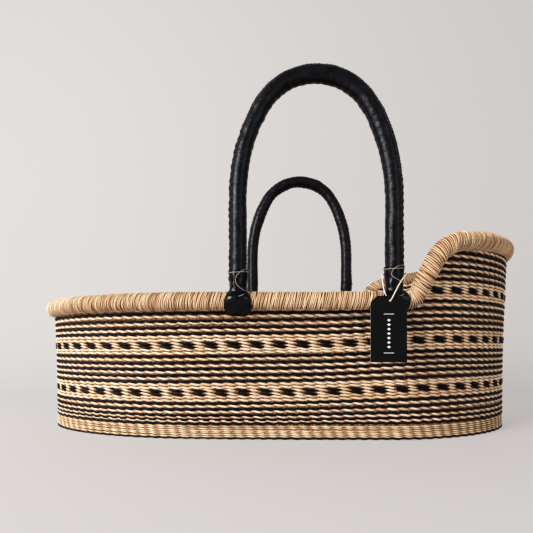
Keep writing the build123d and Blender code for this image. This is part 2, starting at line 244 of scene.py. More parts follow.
def tubes(C, N, B, ra, rb, sides, closed, col=None, parts=1, phase=0.0, caps=True, power=1.0):
    """Strands: centres C (S,R,3), section axes N and B, radii ra along N and rb along B.
    Returns V, quads, tris, uv, bake uv, colours.  parts splits each strand into that many bake strips."""
    S, R = C.shape[:2]
    a = phase + np.arange(sides) * 2 * math.pi / sides
    ca, sa = np.cos(a), np.sin(a)
    ca, sa = np.sign(ca) * np.abs(ca) ** power, np.sign(sa) * np.abs(sa) ** power
    ra = np.broadcast_to(np.asarray(ra, float), (S, R))
    rb = np.broadcast_to(np.asarray(rb, float), (S, R))
    V = C[:, :, None, :] + (ra[:, :, None] * ca)[..., None] * N[:, :, None, :] + (rb[:, :, None] * sa)[..., None] * B[:, :, None, :]
    idx = np.arange(S * R * sides).reshape(S, R, sides)
    i0 = idx if closed else idx[:, :-1]
    i1 = np.roll(idx, -1, 1) if closed else idx[:, 1:]
    q = np.stack([i0, np.roll(i0, -1, 2), np.roll(i1, -1, 2), i1], -1)
    RQ = q.shape[1]
    # bake strips
    per = int(math.ceil(RQ / parts))
    nstrip = S * parts
    seg_len = np.linalg.norm(np.diff(C, axis=1), axis=-1).mean() * per
    cols, rows = cell_grid(nstrip, seg_len, 2 * math.pi * float(np.mean(ra + rb)) / 2 * 1.5)
    si, ri, ki = np.meshgrid(np.arange(S), np.arange(RQ), np.arange(sides), indexing="ij")
    strip = si * parts + ri // per
    cx, cy = strip % cols, strip // cols
    m = 0.06
    u0 = (cx + m + (1 - 2 * m) * (ri % per) / per) / cols
    u1 = (cx + m + (1 - 2 * m) * (ri % per + 1) / per) / cols
    v0 = (cy + 0.14 + 0.72 * ki / sides) / rows
    v1 = (cy + 0.14 + 0.72 * (ki + 1) / sides) / rows
    bake = np.stack([np.stack([u0, v0], -1), np.stack([u0, v1], -1), np.stack([u1, v1], -1), np.stack([u1, v0], -1)], -2)
    # length along in units of 10 mm, and a seed per strand
    d = np.linalg.norm(np.diff(C, axis=1), axis=-1).mean(0)
    L = np.r_[0, np.cumsum(np.r_[d, d[-1:]])][:RQ + 1] / 10.0
    a0, a1 = L[ri], L[ri + 1]
    b0, b1 = ki / sides + si * 3.17, (ki + 1) / sides + si * 3.17
    uv = np.stack([np.stack([a0, b0], -1), np.stack([a0, b1], -1), np.stack([a1, b1], -1), np.stack([a1, b0], -1)], -2)
    quads = q.reshape(-1, 4)
    uv, bake = uv.reshape(-1, 2), bake.reshape(-1, 2)
    tris = None
    if not closed and caps:
        k = np.arange(1, sides - 1)
        t0 = np.stack([idx[:, 0, [0]].repeat(len(k), 1), idx[:, 0][:, k + 1], idx[:, 0][:, k]], -1).reshape(-1, 3)
        t1 = np.stack([idx[:, -1, [0]].repeat(len(k), 1), idx[:, -1][:, k], idx[:, -1][:, k + 1]], -1).reshape(-1, 3)
        tris = np.concatenate([t0, t1])
        uv = np.concatenate([uv, np.zeros((len(tris) * 3, 2))])
        bake = np.concatenate([bake, np.zeros((len(tris) * 3, 2)) + 0.001])
    c = None
    if col is not None:
        c = np.broadcast_to(col if col.ndim == 4 else col[:, :, None, :], (S, R, sides, col.shape[-1])).reshape(-1, col.shape[-1])
    return [V.reshape(-1, 3), quads, tris, uv, bake, c]


def join(parts):
    """Joins several outputs of tubes into one, with bake strips stacked."""
    V, Q, T, UV, BK, C = [], [], [], [], [], []
    off = 0
    n = len(parts)
    sizes = np.array([len(p[1]) for p in parts], float)
    edges = np.r_[0, np.cumsum(sizes / sizes.sum())]
    tuv, tbk = [], []
    for i, (v, q, t, uv, bk, c) in enumerate(parts):
        nq = len(q) * 4
        bk = bk.copy()
        bk[:, 1] = edges[i] + bk[:, 1] * (edges[i + 1] - edges[i])
        V.append(v); Q.append(q + off); UV.append(uv[:nq]); BK.append(bk[:nq])
        if t is not None:
            T.append(t + off); tuv.append(uv[nq:]); tbk.append(bk[nq:])
        if c is not None:
            C.append(c)
        off += len(v)
    return [np.concatenate(V), np.concatenate(Q), np.concatenate(T) if T else None,
            np.concatenate(UV + tuv), np.concatenate(BK + tbk), np.concatenate(C) if C else None]


def piece(name, data, material, body, nodes=(), smooth=True):
    V, Q, T, uv, bk, c = data
    ob = make_mesh(name, V, Q, T, uv, bk, c, material, smooth)
    if body:
        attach(ob, body)
    if nodes:
        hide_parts(*nodes)
    return ob


def lin(c):
    c = np.asarray(c, float) / 255.0
    return np.where(c <= 0.04045, c / 12.92, ((c + 0.055) / 1.055) ** 2.4)


def smooth_noise(n, every, seed_rng, closed=True):
    """Values of about unit size that vary smoothly over n samples, one knot per `every` samples."""
    k = max(4, int(n / every))
    v = seed_rng.normal(size=k)
    x = np.arange(n) * k / n
    i = np.floor(x).astype(int)
    t = x - i
    t = t * t * (3 - 2 * t)
    return v[i % k] * (1 - t) + v[(i + 1) % k] * t


# ------------------------------------------------------------------ materials
def node_material(name, rough, spec=0.4, sheen=0.0, coat=0.0):
    m = bpy.data.materials.new(name)
    m.use_nodes = True
    nt = m.node_tree
    b = nt.nodes["Principled BSDF"]
    b.inputs["Roughness"].default_value = rough
    b.inputs["Specular IOR Level"].default_value = spec
    b.inputs["Sheen Weight"].default_value = sheen
    b.inputs["Coat Weight"].default_value = coat
    return m, nt, b


def grass_material(name, rough=0.55, streak=0.30, bump=0.4, straws=3.0, twist=0.30, groove_shade_depth=0.30):
    """Dried grass: colour from the strand, several straws twisted together with painted shade in the grooves between
    them, fibres along them.
    """
    m, nt, b = node_material(name, rough, 0.18)
    N, L = nt.nodes, nt.links

    def math_node(op, a=None, bv=None, c=None):
        n = N.new("ShaderNodeMath"); n.operation = op
        for i, v in enumerate((a, bv, c)):
            if v is None:
                continue
            if isinstance(v, (int, float)):
                n.inputs[i].default_value = v
            else:
                L.new(v, n.inputs[i])
        return n.outputs[0]
    col = N.new("ShaderNodeAttribute"); col.attribute_name = "Col"
    uv = N.new("ShaderNodeUVMap"); uv.uv_map = "Strand"
    sep = N.new("ShaderNodeSeparateXYZ"); L.new(uv.outputs[0], sep.inputs[0])
    v = math_node("MULTIPLY_ADD", sep.outputs[0], twist, sep.outputs[1])
    com = N.new("ShaderNodeCombineXYZ"); L.new(sep.outputs[0], com.inputs[0]); L.new(v, com.inputs[1])
    # painted shade in the grooves between the straws: the colour is darkened there, and the same mask shapes the bump
    fr = math_node("FRACT", math_node("MULTIPLY", v, straws))
    d = math_node("ABSOLUTE", math_node("SUBTRACT", fr, 0.5))
    groove_shade_bump = N.new("ShaderNodeMapRange"); groove_shade_bump.interpolation_type = "SMOOTHSTEP"
    groove_shade_bump.inputs["From Min"].default_value = 0.34; groove_shade_bump.inputs["From Max"].default_value = 0.5
    groove_shade_bump.inputs["To Min"].default_value = 1.0; groove_shade_bump.inputs["To Max"].default_value = 1.0 - groove_shade_depth
    L.new(d, groove_shade_bump.inputs["Value"])
    mp = N.new("ShaderNodeMapping"); mp.inputs["Scale"].default_value = (0.55, 7.0, 1.0)
    n1 = N.new("ShaderNodeTexNoise"); n1.inputs["Scale"].default_value = 1.0; n1.inputs["Detail"].default_value = 4.0
    n1.inputs["Roughness"].default_value = 0.65
    L.new(com.outputs[0], mp.inputs[0]); L.new(mp.outputs[0], n1.inputs["Vector"])
    ramp = N.new("ShaderNodeMapRange"); ramp.inputs["From Min"].default_value = 0.28; ramp.inputs["From Max"].default_value = 0.72
    ramp.inputs["To Min"].default_value = 1 - streak; ramp.inputs["To Max"].default_value = 1 + streak * 0.6
    L.new(n1.outputs["Fac"], ramp.inputs["Value"])
    f = math_node("MULTIPLY", ramp.outputs[0], groove_shade_bump.outputs[0])
    # darker tones are also browner
    f2 = math_node("POWER", f, 1.22)
    f3 = math_node("POWER", f, 1.48)
    com2 = N.new("ShaderNodeCombineXYZ"); L.new(f, com2.inputs[0]); L.new(f2, com2.inputs[1]); L.new(f3, com2.inputs[2])
    mul = N.new("ShaderNodeMix"); mul.data_type = "RGBA"; mul.blend_type = "MULTIPLY"; mul.inputs["Factor"].default_value = 1.0
    L.new(col.outputs["Color"], mul.inputs[6]); L.new(com2.outputs[0], mul.inputs[7])
    L.new(mul.outputs[2], b.inputs["Base Color"])
    mp2 = N.new("ShaderNodeMapping"); mp2.inputs["Scale"].default_value = (1.2, 16.0, 1.0)
    n2 = N.new("ShaderNodeTexNoise"); n2.inputs["Scale"].default_value = 1.0; n2.inputs["Detail"].default_value = 3.0
    L.new(com.outputs[0], mp2.inputs[0]); L.new(mp2.outputs[0], n2.inputs["Vector"])
    h = math_node("MULTIPLY_ADD", n2.outputs["Fac"], 0.5, groove_shade_bump.outputs[0])
    bp = N.new("ShaderNodeBump"); bp.inputs["Strength"].default_value = bump; bp.inputs["Distance"].default_value = 0.0007
    L.new(h, bp.inputs["Height"]); L.new(bp.outputs[0], b.inputs["Normal"])
    r2 = N.new("ShaderNodeMapRange"); r2.inputs["To Min"].default_value = rough - 0.12; r2.inputs["To Max"].default_value = rough + 0.14
    L.new(n1.outputs["Fac"], r2.inputs["Value"]); L.new(r2.outputs[0], b.inputs["Roughness"])
    return m


def leather_material(name, colour=(0.0030, 0.0027, 0.0042), rough=0.34, grain=1.0, wear=0.4):
    """Black goat leather: pebbled grain, creases, worn greyish on ridges."""
    m, nt, b = node_material(name, rough, 0.24)
    N, L = nt.nodes, nt.links
    tc = N.new("ShaderNodeTexCoord")
    geo = N.new("ShaderNodeNewGeometry")
    n1 = N.new("ShaderNodeTexNoise"); n1.inputs["Scale"].default_value = 70; n1.inputs["Detail"].default_value = 5
    n1.inputs["Roughness"].default_value = 0.6
    L.new(tc.outputs["Object"], n1.inputs["Vector"])
    cr = N.new("ShaderNodeValToRGB")
    e = cr.color_ramp.elements
    e[0].position, e[1].position = 0.42, 0.78
    e[0].color = (*colour, 1)
    e[1].color = (colour[0] * 3.6, colour[1] * 3.7, colour[2] * 3.8, 1)
    L.new(n1.outputs["Fac"], cr.inputs[0])
    ptn = N.new("ShaderNodeMapRange"); ptn.inputs["From Min"].default_value = 0.50; ptn.inputs["From Max"].default_value = 0.60
    L.new(geo.outputs["Pointiness"], ptn.inputs["Value"])
    mix = N.new("ShaderNodeMix"); mix.data_type = "RGBA"
    mix.inputs[7].default_value = (0.014, 0.013, 0.016, 1)
    f = N.new("ShaderNodeMath"); f.operation = "MULTIPLY"; f.inputs[1].default_value = wear
    L.new(ptn.outputs[0], f.inputs[0]); L.new(f.outputs[0], mix.inputs["Factor"])
    L.new(cr.outputs[0], mix.inputs[6]); L.new(mix.outputs[2], b.inputs["Base Color"])
    vo = N.new("ShaderNodeTexVoronoi"); vo.inputs["Scale"].default_value = 900; vo.feature = "SMOOTH_F1"
    n3 = N.new("ShaderNodeTexNoise"); n3.inputs["Scale"].default_value = 240; n3.inputs["Detail"].default_value = 6
    L.new(tc.outputs["Object"], vo.inputs["Vector"]); L.new(tc.outputs["Object"], n3.inputs["Vector"])
    b1 = N.new("ShaderNodeBump"); b1.inputs["Strength"].default_value = 0.25 * grain; b1.inputs["Distance"].default_value = 0.0005
    b2 = N.new("ShaderNodeBump"); b2.inputs["Strength"].default_value = 0.45 * grain; b2.inputs["Distance"].default_value = 0.0012
    L.new(vo.outputs["Distance"], b1.inputs["Height"]); L.new(n3.outputs["Fac"], b2.inputs["Height"])
    L.new(b1.outputs[0], b2.inputs["Normal"]); L.new(b2.outputs[0], b.inputs["Normal"])
    r = N.new("ShaderNodeMapRange"); r.inputs["To Min"].default_value = rough - 0.14; r.inputs["To Max"].default_value = rough + 0.2
    L.new(n3.outputs["Fac"], r.inputs["Value"]); L.new(r.outputs[0], b.inputs["Roughness"])
    return m


def plain_textured(name, colour, rough, scale=300.0, bump=0.3, amount=0.12, spec=0.4):
    m, nt, b = node_material(name, rough, spec)
    N, L = nt.nodes, nt.links
    tc = N.new("ShaderNodeTexCoord")
    n = N.new("ShaderNodeTexNoise"); n.inputs["Scale"].default_value = scale; n.inputs["Detail"].default_value = 5
    L.new(tc.outputs["Object"], n.inputs["Vector"])
    cr = N.new("ShaderNodeValToRGB")
    e = cr.color_ramp.elements
    e[0].position, e[1].position = 0.3, 0.7
    e[0].color = tuple(c * (1 - amount) for c in colour) + (1,)
    e[1].color = tuple(min(1, c * (1 + amount)) for c in colour) + (1,)
    L.new(n.outputs["Fac"], cr.inputs[0]); L.new(cr.outputs[0], b.inputs["Base Color"])
    bp = N.new("ShaderNodeBump"); bp.inputs["Strength"].default_value = bump; bp.inputs["Distance"].default_value = 0.0004
    L.new(n.outputs["Fac"], bp.inputs["Height"]); L.new(bp.outputs[0], b.inputs["Normal"])
    return m


weave_mat = grass_material("twined_grass", 0.55, 0.28, 0.5, 3.0, 0.30, 0.30)
rim_mat = grass_material("wrapped_grass", 0.5, 0.28, 0.4, 1.0, 0.05, 0.15)
leather = leather_material("black_leather")
leather_patch = leather_material("black_leather_patch", (0.0026, 0.0023, 0.0036), 0.22, 0.35, 0.3)
core_mat = plain_textured("grass_bundle", (0.13, 0.075, 0.035), 0.8, 220, 0.8, 0.5)
thread_mat = plain_textured("waxed_thread", (0.30, 0.27, 0.235), 0.5, 900, 0.3, 0.25)
lace_mat = plain_textured("leather_lace", (0.012, 0.011, 0.014), 0.4, 900, 0.3, 0.3)
card_mat = plain_textured("black_card", (0.0042, 0.0040, 0.0046), 0.6, 1500, 0.2, 0.25, 0.2)
card_edge = plain_textured("card_edge", (0.30, 0.29, 0.28), 0.8, 1200, 0.2, 0.15)
string_mat = plain_textured("pale_string", (0.74, 0.70, 0.62), 0.7, 1100, 0.5, 0.2)
print_mat = plain_textured("pale_print", (0.72, 0.72, 0.70), 0.6, 1500, 0.1, 0.06)

# ------------------------------------------------------------------ woven wall
NATURAL = np.array([lin((238, 214, 184)), lin((228, 202, 170)), lin((216, 187, 154)), lin((232, 206, 174)), lin((203, 170, 137)),
                    lin((245, 228, 202)), lin((222, 190, 154)), lin((234, 211, 181))])
BLACK = np.array([lin((17, 14, 18)), lin((24, 20, 26)), lin((13, 11, 14)), lin((29, 24, 31)), lin((20, 16, 20))])
# painted shade: how much darker and browner a strand is where it dives behind the next stitch
DIVE_SHADE = np.array([0.50, 0.36, 0.28])
UNDERSIDE_SHADE = np.array([0.22, 0.31, 0.37])       # painted shade: how much darker the underside of a strand is


def strand_colours(n_strand, n_pts, pps, palette, spread=0.05):
    """Colour along each strand: new lengths of grass are joined in every 9 to 26 stitches."""
    out = np.zeros((n_strand, n_pts, 3))
    row = palette[rng.integers(len(palette))]
    for s in range(n_strand):
        k = 0
        while k < n_pts:
            m = int(pps * rng.integers(9, 26))
            c = 0.6 * palette[rng.integers(len(palette))] + 0.4 * row
            out[s, k:k + m] = c * rng.uniform(0.93, 1.07)
            k += m
        st = np.repeat(1 + spread * rng.normal(size=n_pts // pps + 2), pps)[:n_pts]
        out[s] *= st[:, None]
    return out


def held(col, most=0.90):
    """Scales a colour down where its largest channel passes the most a grass may reflect."""
    return col * np.minimum(1.0, most / np.maximum(col.max(-1, keepdims=True), 1e-6))


def dive_shade_tint(col, c):
    """Painted shade: strands are darker and browner where they dive behind the next stitch."""
    t = np.clip(np.abs(c) * 1.5, 0, 1)[:, None]
    t = t * t * (3 - 2 * t)
    return col * (DIVE_SHADE * (1 - t) + t)


def weave_row(r_index, zfun, colours, p0=0.0, p1=1.0, closed=True, pps=6, sides=6, inset=2.7, size=1.0, shift=None, parts=6,
              swing=0.85, tone=(1.0, 1.0, 1.0), bias=0.0, under=1.0, deep=1.0):
    """Two strands twined round the stakes.  colours is a pair of palettes; bias keeps the first strand longer in front."""
    n = int(round(N_STAKES * pps * (p1 - p0)))
    if closed:
        p = np.arange(n) / n
    else:
        p = np.linspace(p0, p1, n + 1)
        n = n + 1
    x, _ = plan(p)
    z = zfun(x) + 0.35 * smooth_noise(n, pps * 9, rng)
    P, T, U, Nn = surf(p, z)
    u = stake_u(p) - (float(drift(r_index)) if shift is None else shift) + 0.05 * smooth_noise(n, pps * 3, rng)
    C, W, H, NN, BB, CC = [], [], [], [], [], []
    tone = np.asarray(tone)
    for j in (0, 1):
        ph = math.pi * (u - j)
        c, s = np.cos(ph) + (bias if j == 0 else -bias), np.sin(ph)
        jit = smooth_noise(n, pps, rng)
        light = colours[j] is NATURAL
        plump = (0.93 if light else 1.16) * size
        cen = P + Nn * (-inset + (2.0 * size * c + (0.0 if light else 0.15)) + 0.12 * jit)[:, None] + U * (-swing * size * s)[:, None]
        a = np.clip(np.abs(c), 0, 1) ** 1.4
        big = 1 + 0.07 * smooth_noise(n, pps * 1.5, rng)
        w = (1.27 + 0.95 * a) * plump * big
        t = (1.30 - 0.12 * a) * plump
        D = np.gradient(cen, axis=0) if not closed else np.roll(cen, -1, 0) - np.roll(cen, 1, 0)
        D = unit(D)
        B = unit(U - (U * D).sum(-1, keepdims=True) * D)
        Nf = np.cross(D, B)
        # the strand rolls a little as it turns over
        roll = 0.35 * s[:, None]
        C.append(cen); W.append(w); H.append(t)
        NN.append(Nf * np.cos(roll) + B * np.sin(roll)); BB.append(B * np.cos(roll) - Nf * np.sin(roll))
        col = strand_colours(1, n, pps, colours[j])[0]
        # painted light: tone brightens the natural grass in the stripe and dot bands; the dive tint then paints shade
        # where it dives behind the next stitch
        if light:
            col = dive_shade_tint(held(col * tone), c / deep)
        # painted light and shade: the top of each strand is painted lighter and its underside darker, as if lit from
        # above; under scales the painted underside shade
        up = np.sin(np.arange(sides) * 2 * math.pi / sides)
        shade = 1 + 0.08 * np.clip(up, 0, 1)[None, :, None] - (UNDERSIDE_SHADE * under if light else 0.2) * np.clip(-up, 0, 1)[None, :, None]
        CC.append(held(col[:, None, :] * shade, 0.92))
    return tubes(np.array(C), np.array(NN), np.array(BB), np.array(H), np.array(W), sides, closed, np.array(CC), parts)


def row_colours(r):
    """Which grass each stripe row uses: black and natural by turns."""
    if (1 <= r <= 7 or 15 <= r <= 23 or 31 <= r <= 39) and r % 2 == 1:
        return BLACK, BLACK
    if r <= -9 and r % 2 == 1:
        return BLACK, BLACK
    if r == -1:
        return BLACK, BLACK
    return NATURAL, NATURAL


# painted light: the same natural grass is brightened in the stripe and dot bands to offset the shade between their
# rows; the larger blue factor is a colour correction
STRIPE_PAINTED_LIGHT = (1.14, 1.17, 1.27)
DOT_PAINTED_LIGHT = (1.20, 1.22, 1.28)


def dotted(first, last):
    """Six rows between two stripes; the middle two carry the dots."""
    return [(first + (last - first) * k / 7.0, k in (3, 4)) for k in range(1, 7)]


def stripe_row(r):
    return weave_row(r, lambda x: row_height(r, x), row_colours(r), tone=STRIPE_PAINTED_LIGHT)


def dot_row(r, dots, **more):
    kind = (BLACK, NATURAL) if dots else (NATURAL, NATURAL)
    return weave_row(r, lambda x: row_height(r, x), kind, tone=DOT_PAINTED_LIGHT, swing=1.2 if dots else 0.9, bias=0.30 if dots else 0.0, under=0.5, deep=0.5, **more)


def band(name, parts, nodes=()):
    return piece(name, join(parts), weave_mat, "basket", nodes)


band("wall_stripes_low", [stripe_row(r) for r in range(31, 40)], ["wall_weave"])
band("wall_dots_low", [dot_row(r, d) for r, d in dotted(23, 31)])
band("wall_stripes_mid", [stripe_row(r) for r in range(15, 24)])
band("wall_dots_mid", [dot_row(r, d) for r, d in dotted(7, 15)])
band("wall_stripes_top", [stripe_row(r) for r in range(1, 8)])

# head wall: rows that stop where they meet the rising rim
rows = []
for r, kind in [(0, 0), (-1, 0)] + [(q, 2 if d else 1) for q, d in dotted(-1, -9)] + [(q, 0) for q in range(-9, -21, -1)]:
    xs = np.linspace(205, 440, 800)
    zz = row_height(r, xs)
    ok = zz < rim_height(xs) - 5.0
    if not ok.any():
        continue
    x0 = xs[np.argmax(ok)]
    pf, pb = p_of_x(x0, -1), p_of_x(x0, 1)
    if pb < pf:
        pb += 1
    if kind:
        rows.append(dot_row(r, kind == 2, p0=pf, p1=pb, closed=False, parts=3))
    else:
        rows.append(weave_row(r, lambda x, r=r: row_height(r, x), row_colours(r), pf, pb, closed=False, parts=3, tone=STRIPE_PAINTED_LIGHT))
piece("head_wall_rows", join(rows), weave_mat, "basket", ["head_weave"])

# rows hidden inside the rim, so that no light comes through under it
pL, pR = p_of_x(HX - LEG, -1), p_of_x(HX + LEG, -1)
qL, qR = p_of_x(HX - LEG, 1), p_of_x(HX + LEG, 1)
if pL > 0.5:
    pL -= 1
rows = [weave_row(0, lambda x, z=z: z + 0 * x, (NATURAL, NATURAL), p_of_x(228, 1), p_of_x(228, -1) + 1, closed=False, parts=5)
        for z in (198.6, 203.2)]
for start, stop in ((pR, p_of_x(291, -1)), (p_of_x(303, -1), p_of_x(309, -1)), (p_of_x(322, -1), p_of_x(330, 1)), (p_of_x(318, 1), qR)):
    rows.append(weave_row(0, lambda x: rim_height(x) - 11.5, (BLACK, BLACK), start, stop, closed=False, parts=3))
piece("wall_top_rows", join(rows), weave_mat, "basket")

# plain fine rows at the foot of the wall, and the black edge row
rows = []
for k, (z, cols) in enumerate(((20.1, NATURAL), (17.0, NATURAL), (13.9, NATURAL), (10.8, NATURAL), (7.7, NATURAL), (4.7, NATURAL), (1.9, BLACK))):
    rows.append(weave_row(0, lambda x, z=z: z + 2.2 * np.clip((np.asarray(x) - 150) / 250, 0, 1) * (max(z - 3, 0) / 18),
                          (cols, cols), size=0.72 if z > 3 else 0.74, shift=0.80 + 0.055 * k, inset=2.0, tone=(0.95, 0.96, 0.97), swing=0.62, under=0.45, deep=1.5))
piece("border_rows", join(rows), weave_mat, "basket", ["base_border"])

# flat bundles of grass that the rows are twined round, two to a stitch, leaning with them
NS = 2 * N_STAKES
C, NN, BB = [], [], []
lev = np.linspace(0, 1, 14)
row_of_z = (np.array([ROW_Z[k] for k in sorted(ROW_Z, reverse=True)]), np.array(sorted(ROW_Z, reverse=True), float))
for i in range(NS):
    p_top = P_DOT + (0.5 * i - 1.9) / N_STAKES
    x, e = plan(p_top)
    top = float(rim_height(x)) - 4 if x > 205 else RIM_Z - 4
    z = 3 + (top - 3) * lev
    r = np.interp(z, row_of_z[0], row_of_z[1])
    p = P_DOT + (0.5 * i + drift(np.minimum(r, 41))) / N_STAKES
    P, T, U, Nn = surf(p, z)
    inn = 2.7 + 0.0 * z
    C.append(P - Nn * inn[:, None]); NN.append(Nn); BB.append(T)
# painted shade: the stakes are coloured as a darker, browner copy of the natural grass, as they are only seen in the
# shade behind the rows
tone = np.repeat((NATURAL[rng.integers(len(NATURAL), size=NS)] * np.array([0.42, 0.33, 0.26]))[:, None, :], 14, 1)
piece("stakes", tubes(np.array(C), np.array(NN), np.array(BB), 0.7, 4.6, 6, False, tone), weave_mat, "basket")

# ------------------------------------------------------------------ base panel
base_rows = []
nb = N_STAKES // 2
nb += nb % 2
pps = 5
for k in range(36):
    d = 3.5 + k * 4.42
    n = nb * pps
    p = np.arange(n) / n
    x, e = plan(p)
    cxm = (HEAD_X + FOOT_X) / 2
    ax = (HEAD_X - FOOT_X) / 2
    sx, sy = 1 - d / ax, 1 - d / 163.0
    X, Y = cxm + (x - cxm) * sx, e * 163.0 * sy
    P = np.stack([X, Y, 0 * X + 3.2], -1)
    T = unit(np.roll(P, -1, 0) - np.roll(P, 1, 0))
    Up = np.stack([0 * X, 0 * X, 1 + 0 * X], -1)
    In = np.cross(Up, T)
    u = np.arange(n) / pps
    C, W, H, NN, BB = [], [], [], [], []
    for j in (0, 1):
        ph = math.pi * (u - j)
        c, s = np.cos(ph), np.sin(ph)
        cen = P + Up * (1.25 * c)[:, None] + In * (-0.9 * s + 0.25 * smooth_noise(n, pps * 7, rng))[:, None]
        a = np.abs(c) ** 1.4
        C.append(cen); W.append(1.35 + 1.0 * a); H.append(1.3 - 0.45 * a)
        D = unit(np.roll(cen, -1, 0) - np.roll(cen, 1, 0))
        B = unit(In - (In * D).sum(-1, keepdims=True) * D)
        NN.append(np.cross(D, B)); BB.append(B)
    col = strand_colours(2, n, pps, NATURAL if k not in (6, 7, 14, 15, 22, 23) else BLACK)
    # painted shade where the base strands dive behind the next stitch
    for j in (0, 1):
        col[j] = dive_shade_tint(col[j], np.cos(math.pi * (u - j)))
    base_rows.append(tubes(np.array(C), np.array(NN), np.array(BB), np.array(H), np.array(W), 5, True, col, 4))
piece("base_rows_outer", join(base_rows[:18]), weave_mat, "basket", ["base_panel"])
piece("base_rows_inner", join(base_rows[18:]), weave_mat, "basket")

# ------------------------------------------------------------------ rim
RIM_PALETTE = np.array([lin((240, 217, 187)), lin((226, 199, 166)), lin((208, 177, 144)), lin((184, 148, 114)), lin((248, 232, 207)),
                        lin((220, 190, 155)), lin((203, 167, 131)), lin((233, 204, 168)), lin((168, 128, 94))])


def rim_line(p_start, p_end, n=900):
    p = np.linspace(p_start, p_end, n)
    x, _ = plan(p)
    z = rim_height(x)
    P, T, U, Nn = surf(p, z)
    P[:, 0] -= 5.5 * (np.clip(x - 214.5, 0, None) / (HEAD_X - 214.5)) ** 2
    s = np.r_[0, np.cumsum(np.linalg.norm(np.diff(P, axis=0), axis=1))]
    return P, s


def rim_layer(P, s, pitch, radius, half, thick, tilt_deg, tilt_var, wander, tint, grow_to, M=16, sides=5):
    L = s[-1]
    k = int(L / pitch)
    sk = (np.arange(k) + 0.5) * L / k + rng.normal(size=k) * pitch * 0.13

    def at(q):
        q = np.clip(q, 0, L)
        return np.stack([np.interp(q, s, P[:, i]) for i in range(3)], -1)
    C = at(sk)
    T = unit(at(sk + 6) - at(sk - 6))
    O = unit(np.cross(T, np.array([0, 0, 1.0])))
    V2 = np.cross(O, T)
    th = np.arange(M) * 2 * math.pi / M
    e = np.minimum(sk, L - sk)
    grow = grow_to * np.clip((e - 22) / 60, 0, 1)
    tilt = np.radians(tilt_deg + rng.normal(size=k) * tilt_var)
    width = np.clip(half * (1 + 0.16 * rng.normal(size=k)), half * 0.6, half * 1.5)
    th_k = np.clip(thick * (1 + 0.12 * rng.normal(size=k)), thick * 0.7, thick * 1.3)
    R0 = radius + grow + rng.normal(size=k) * wander * 0.4
    w = rng.normal(size=(k, 3))
    off = np.tan(tilt)[:, None] * R0[:, None] * np.sin(th)[None, :] + wander * 1.1 * w[:, :1] * np.sin(2 * th[None, :] + w[:, 1:2] * 3)
    rad = R0[:, None] + wander * np.sin(2 * th[None, :] + w[:, 1:2] * 5) + wander * 0.6 * np.sin(3 * th[None, :] + w[:, 2:3] * 7)
    cen = C[:, None, :] + rad[..., None] * (np.cos(th)[None, :, None] * O[:, None, :] + np.sin(th)[None, :, None] * V2[:, None, :]) + off[..., None] * T[:, None, :]
    radial = unit(cen - C[:, None, :] - off[..., None] * T[:, None, :])
    D = unit(np.roll(cen, -1, 1) - np.roll(cen, 1, 1))
    B = np.cross(D, radial)
    base = RIM_PALETTE[rng.integers(len(RIM_PALETTE), size=k)]
    run = np.repeat(RIM_PALETTE[rng.integers(len(RIM_PALETTE), size=k // 9 + 2)], 9, 0)[:k]
    base = (0.50 * base + 0.04 * run + 0.46 * RIM_PALETTE.mean(0)) * rng.uniform(0.90, 1.08, size=(k, 1)) * tint
    # the strands are darker and browner towards the raised end
    far = np.clip((C[:, :1] - 270) / 110, 0, 1)
    base = np.clip(base * (1 - far * np.array([[0.22, 0.29, 0.34]])), 0, 0.93)
    # painted shade: a strand is darker where it dips under its neighbours, and painted lighter where it rises over them
    dip_shade = np.clip((rad - R0[:, None]) / (wander * 1.6 + 1e-6), -1, 1)
    col = base[:, None, :] * (1 + 0.16 * dip_shade[..., None] * np.array([1.0, 1.15, 1.3]))
    return tubes(cen, radial, B, th_k[:, None], width[:, None], sides, True, col, 1)


def rim_wrap(name, p_start, p_end, nodes, head=False):
    P, s = rim_line(p_start, p_end)
    g = 0.55 if head else 0.0
    # painted shade: the under layer is tinted dark brown so that the gaps between the over strands read as shadow
    under = rim_layer(P, s, 1.9, RIM_R - 1.50, 1.05, 0.6, 9, 3, 0.10, np.array([0.36, 0.23, 0.15]), g)
    over = rim_layer(P, s, 2.5, RIM_R - 0.70, 0.86, 0.78, 13, 3.0, 0.24, np.array([1.01, 1.0, 0.99]), g)
    return piece(name, join([under, over]), rim_mat, "basket", nodes)


rim_wrap("front_rim_strands", pL, pR, ["front_rim_wrap"])
rim_wrap("head_rim_strands", pR, qR, ["head_rim_wrap"], head=True)
rim_wrap("back_rim_strands", qR, qL, ["back_rim_wrap"])
rim_wrap("foot_rim_strands", qL, pL + 1, ["foot_rim_wrap"])


def rim_core(name, p_start, p_end, node, radius=11.7):
    P, s = rim_line(p_start, p_end, 400)
    m = max(8, int(s[-1] / 9))
    q = np.linspace(0, s[-1], m)
    C = np.stack([np.interp(q, s, P[:, i]) for i in range(3)], -1)
    T = unit(np.gradient(C, axis=0))
    O = unit(np.cross(T, np.array([0, 0, 1.0])))
    V2 = np.cross(O, T)
    data = tubes(C[None], O[None], V2[None], radius, radius, 18, False, None, 8)
    return piece(name, data, core_mat, "basket", [node])


rim_core("front_rim_bundle", pL, pR, "front_rim_core")
rim_core("head_rim_bundle", pR, qR, "head_rim_core")
rim_core("back_rim_bundle", qR, qL, "back_rim_core")
rim_core("foot_rim_bundle", qL, pL + 1, "foot_rim_core")

# ------------------------------------------------------------------ handles
ARCH_TOP, ARCH_R, SIDE_R, SIDE_START = 327.4, 89.0, 275.8, 150.0


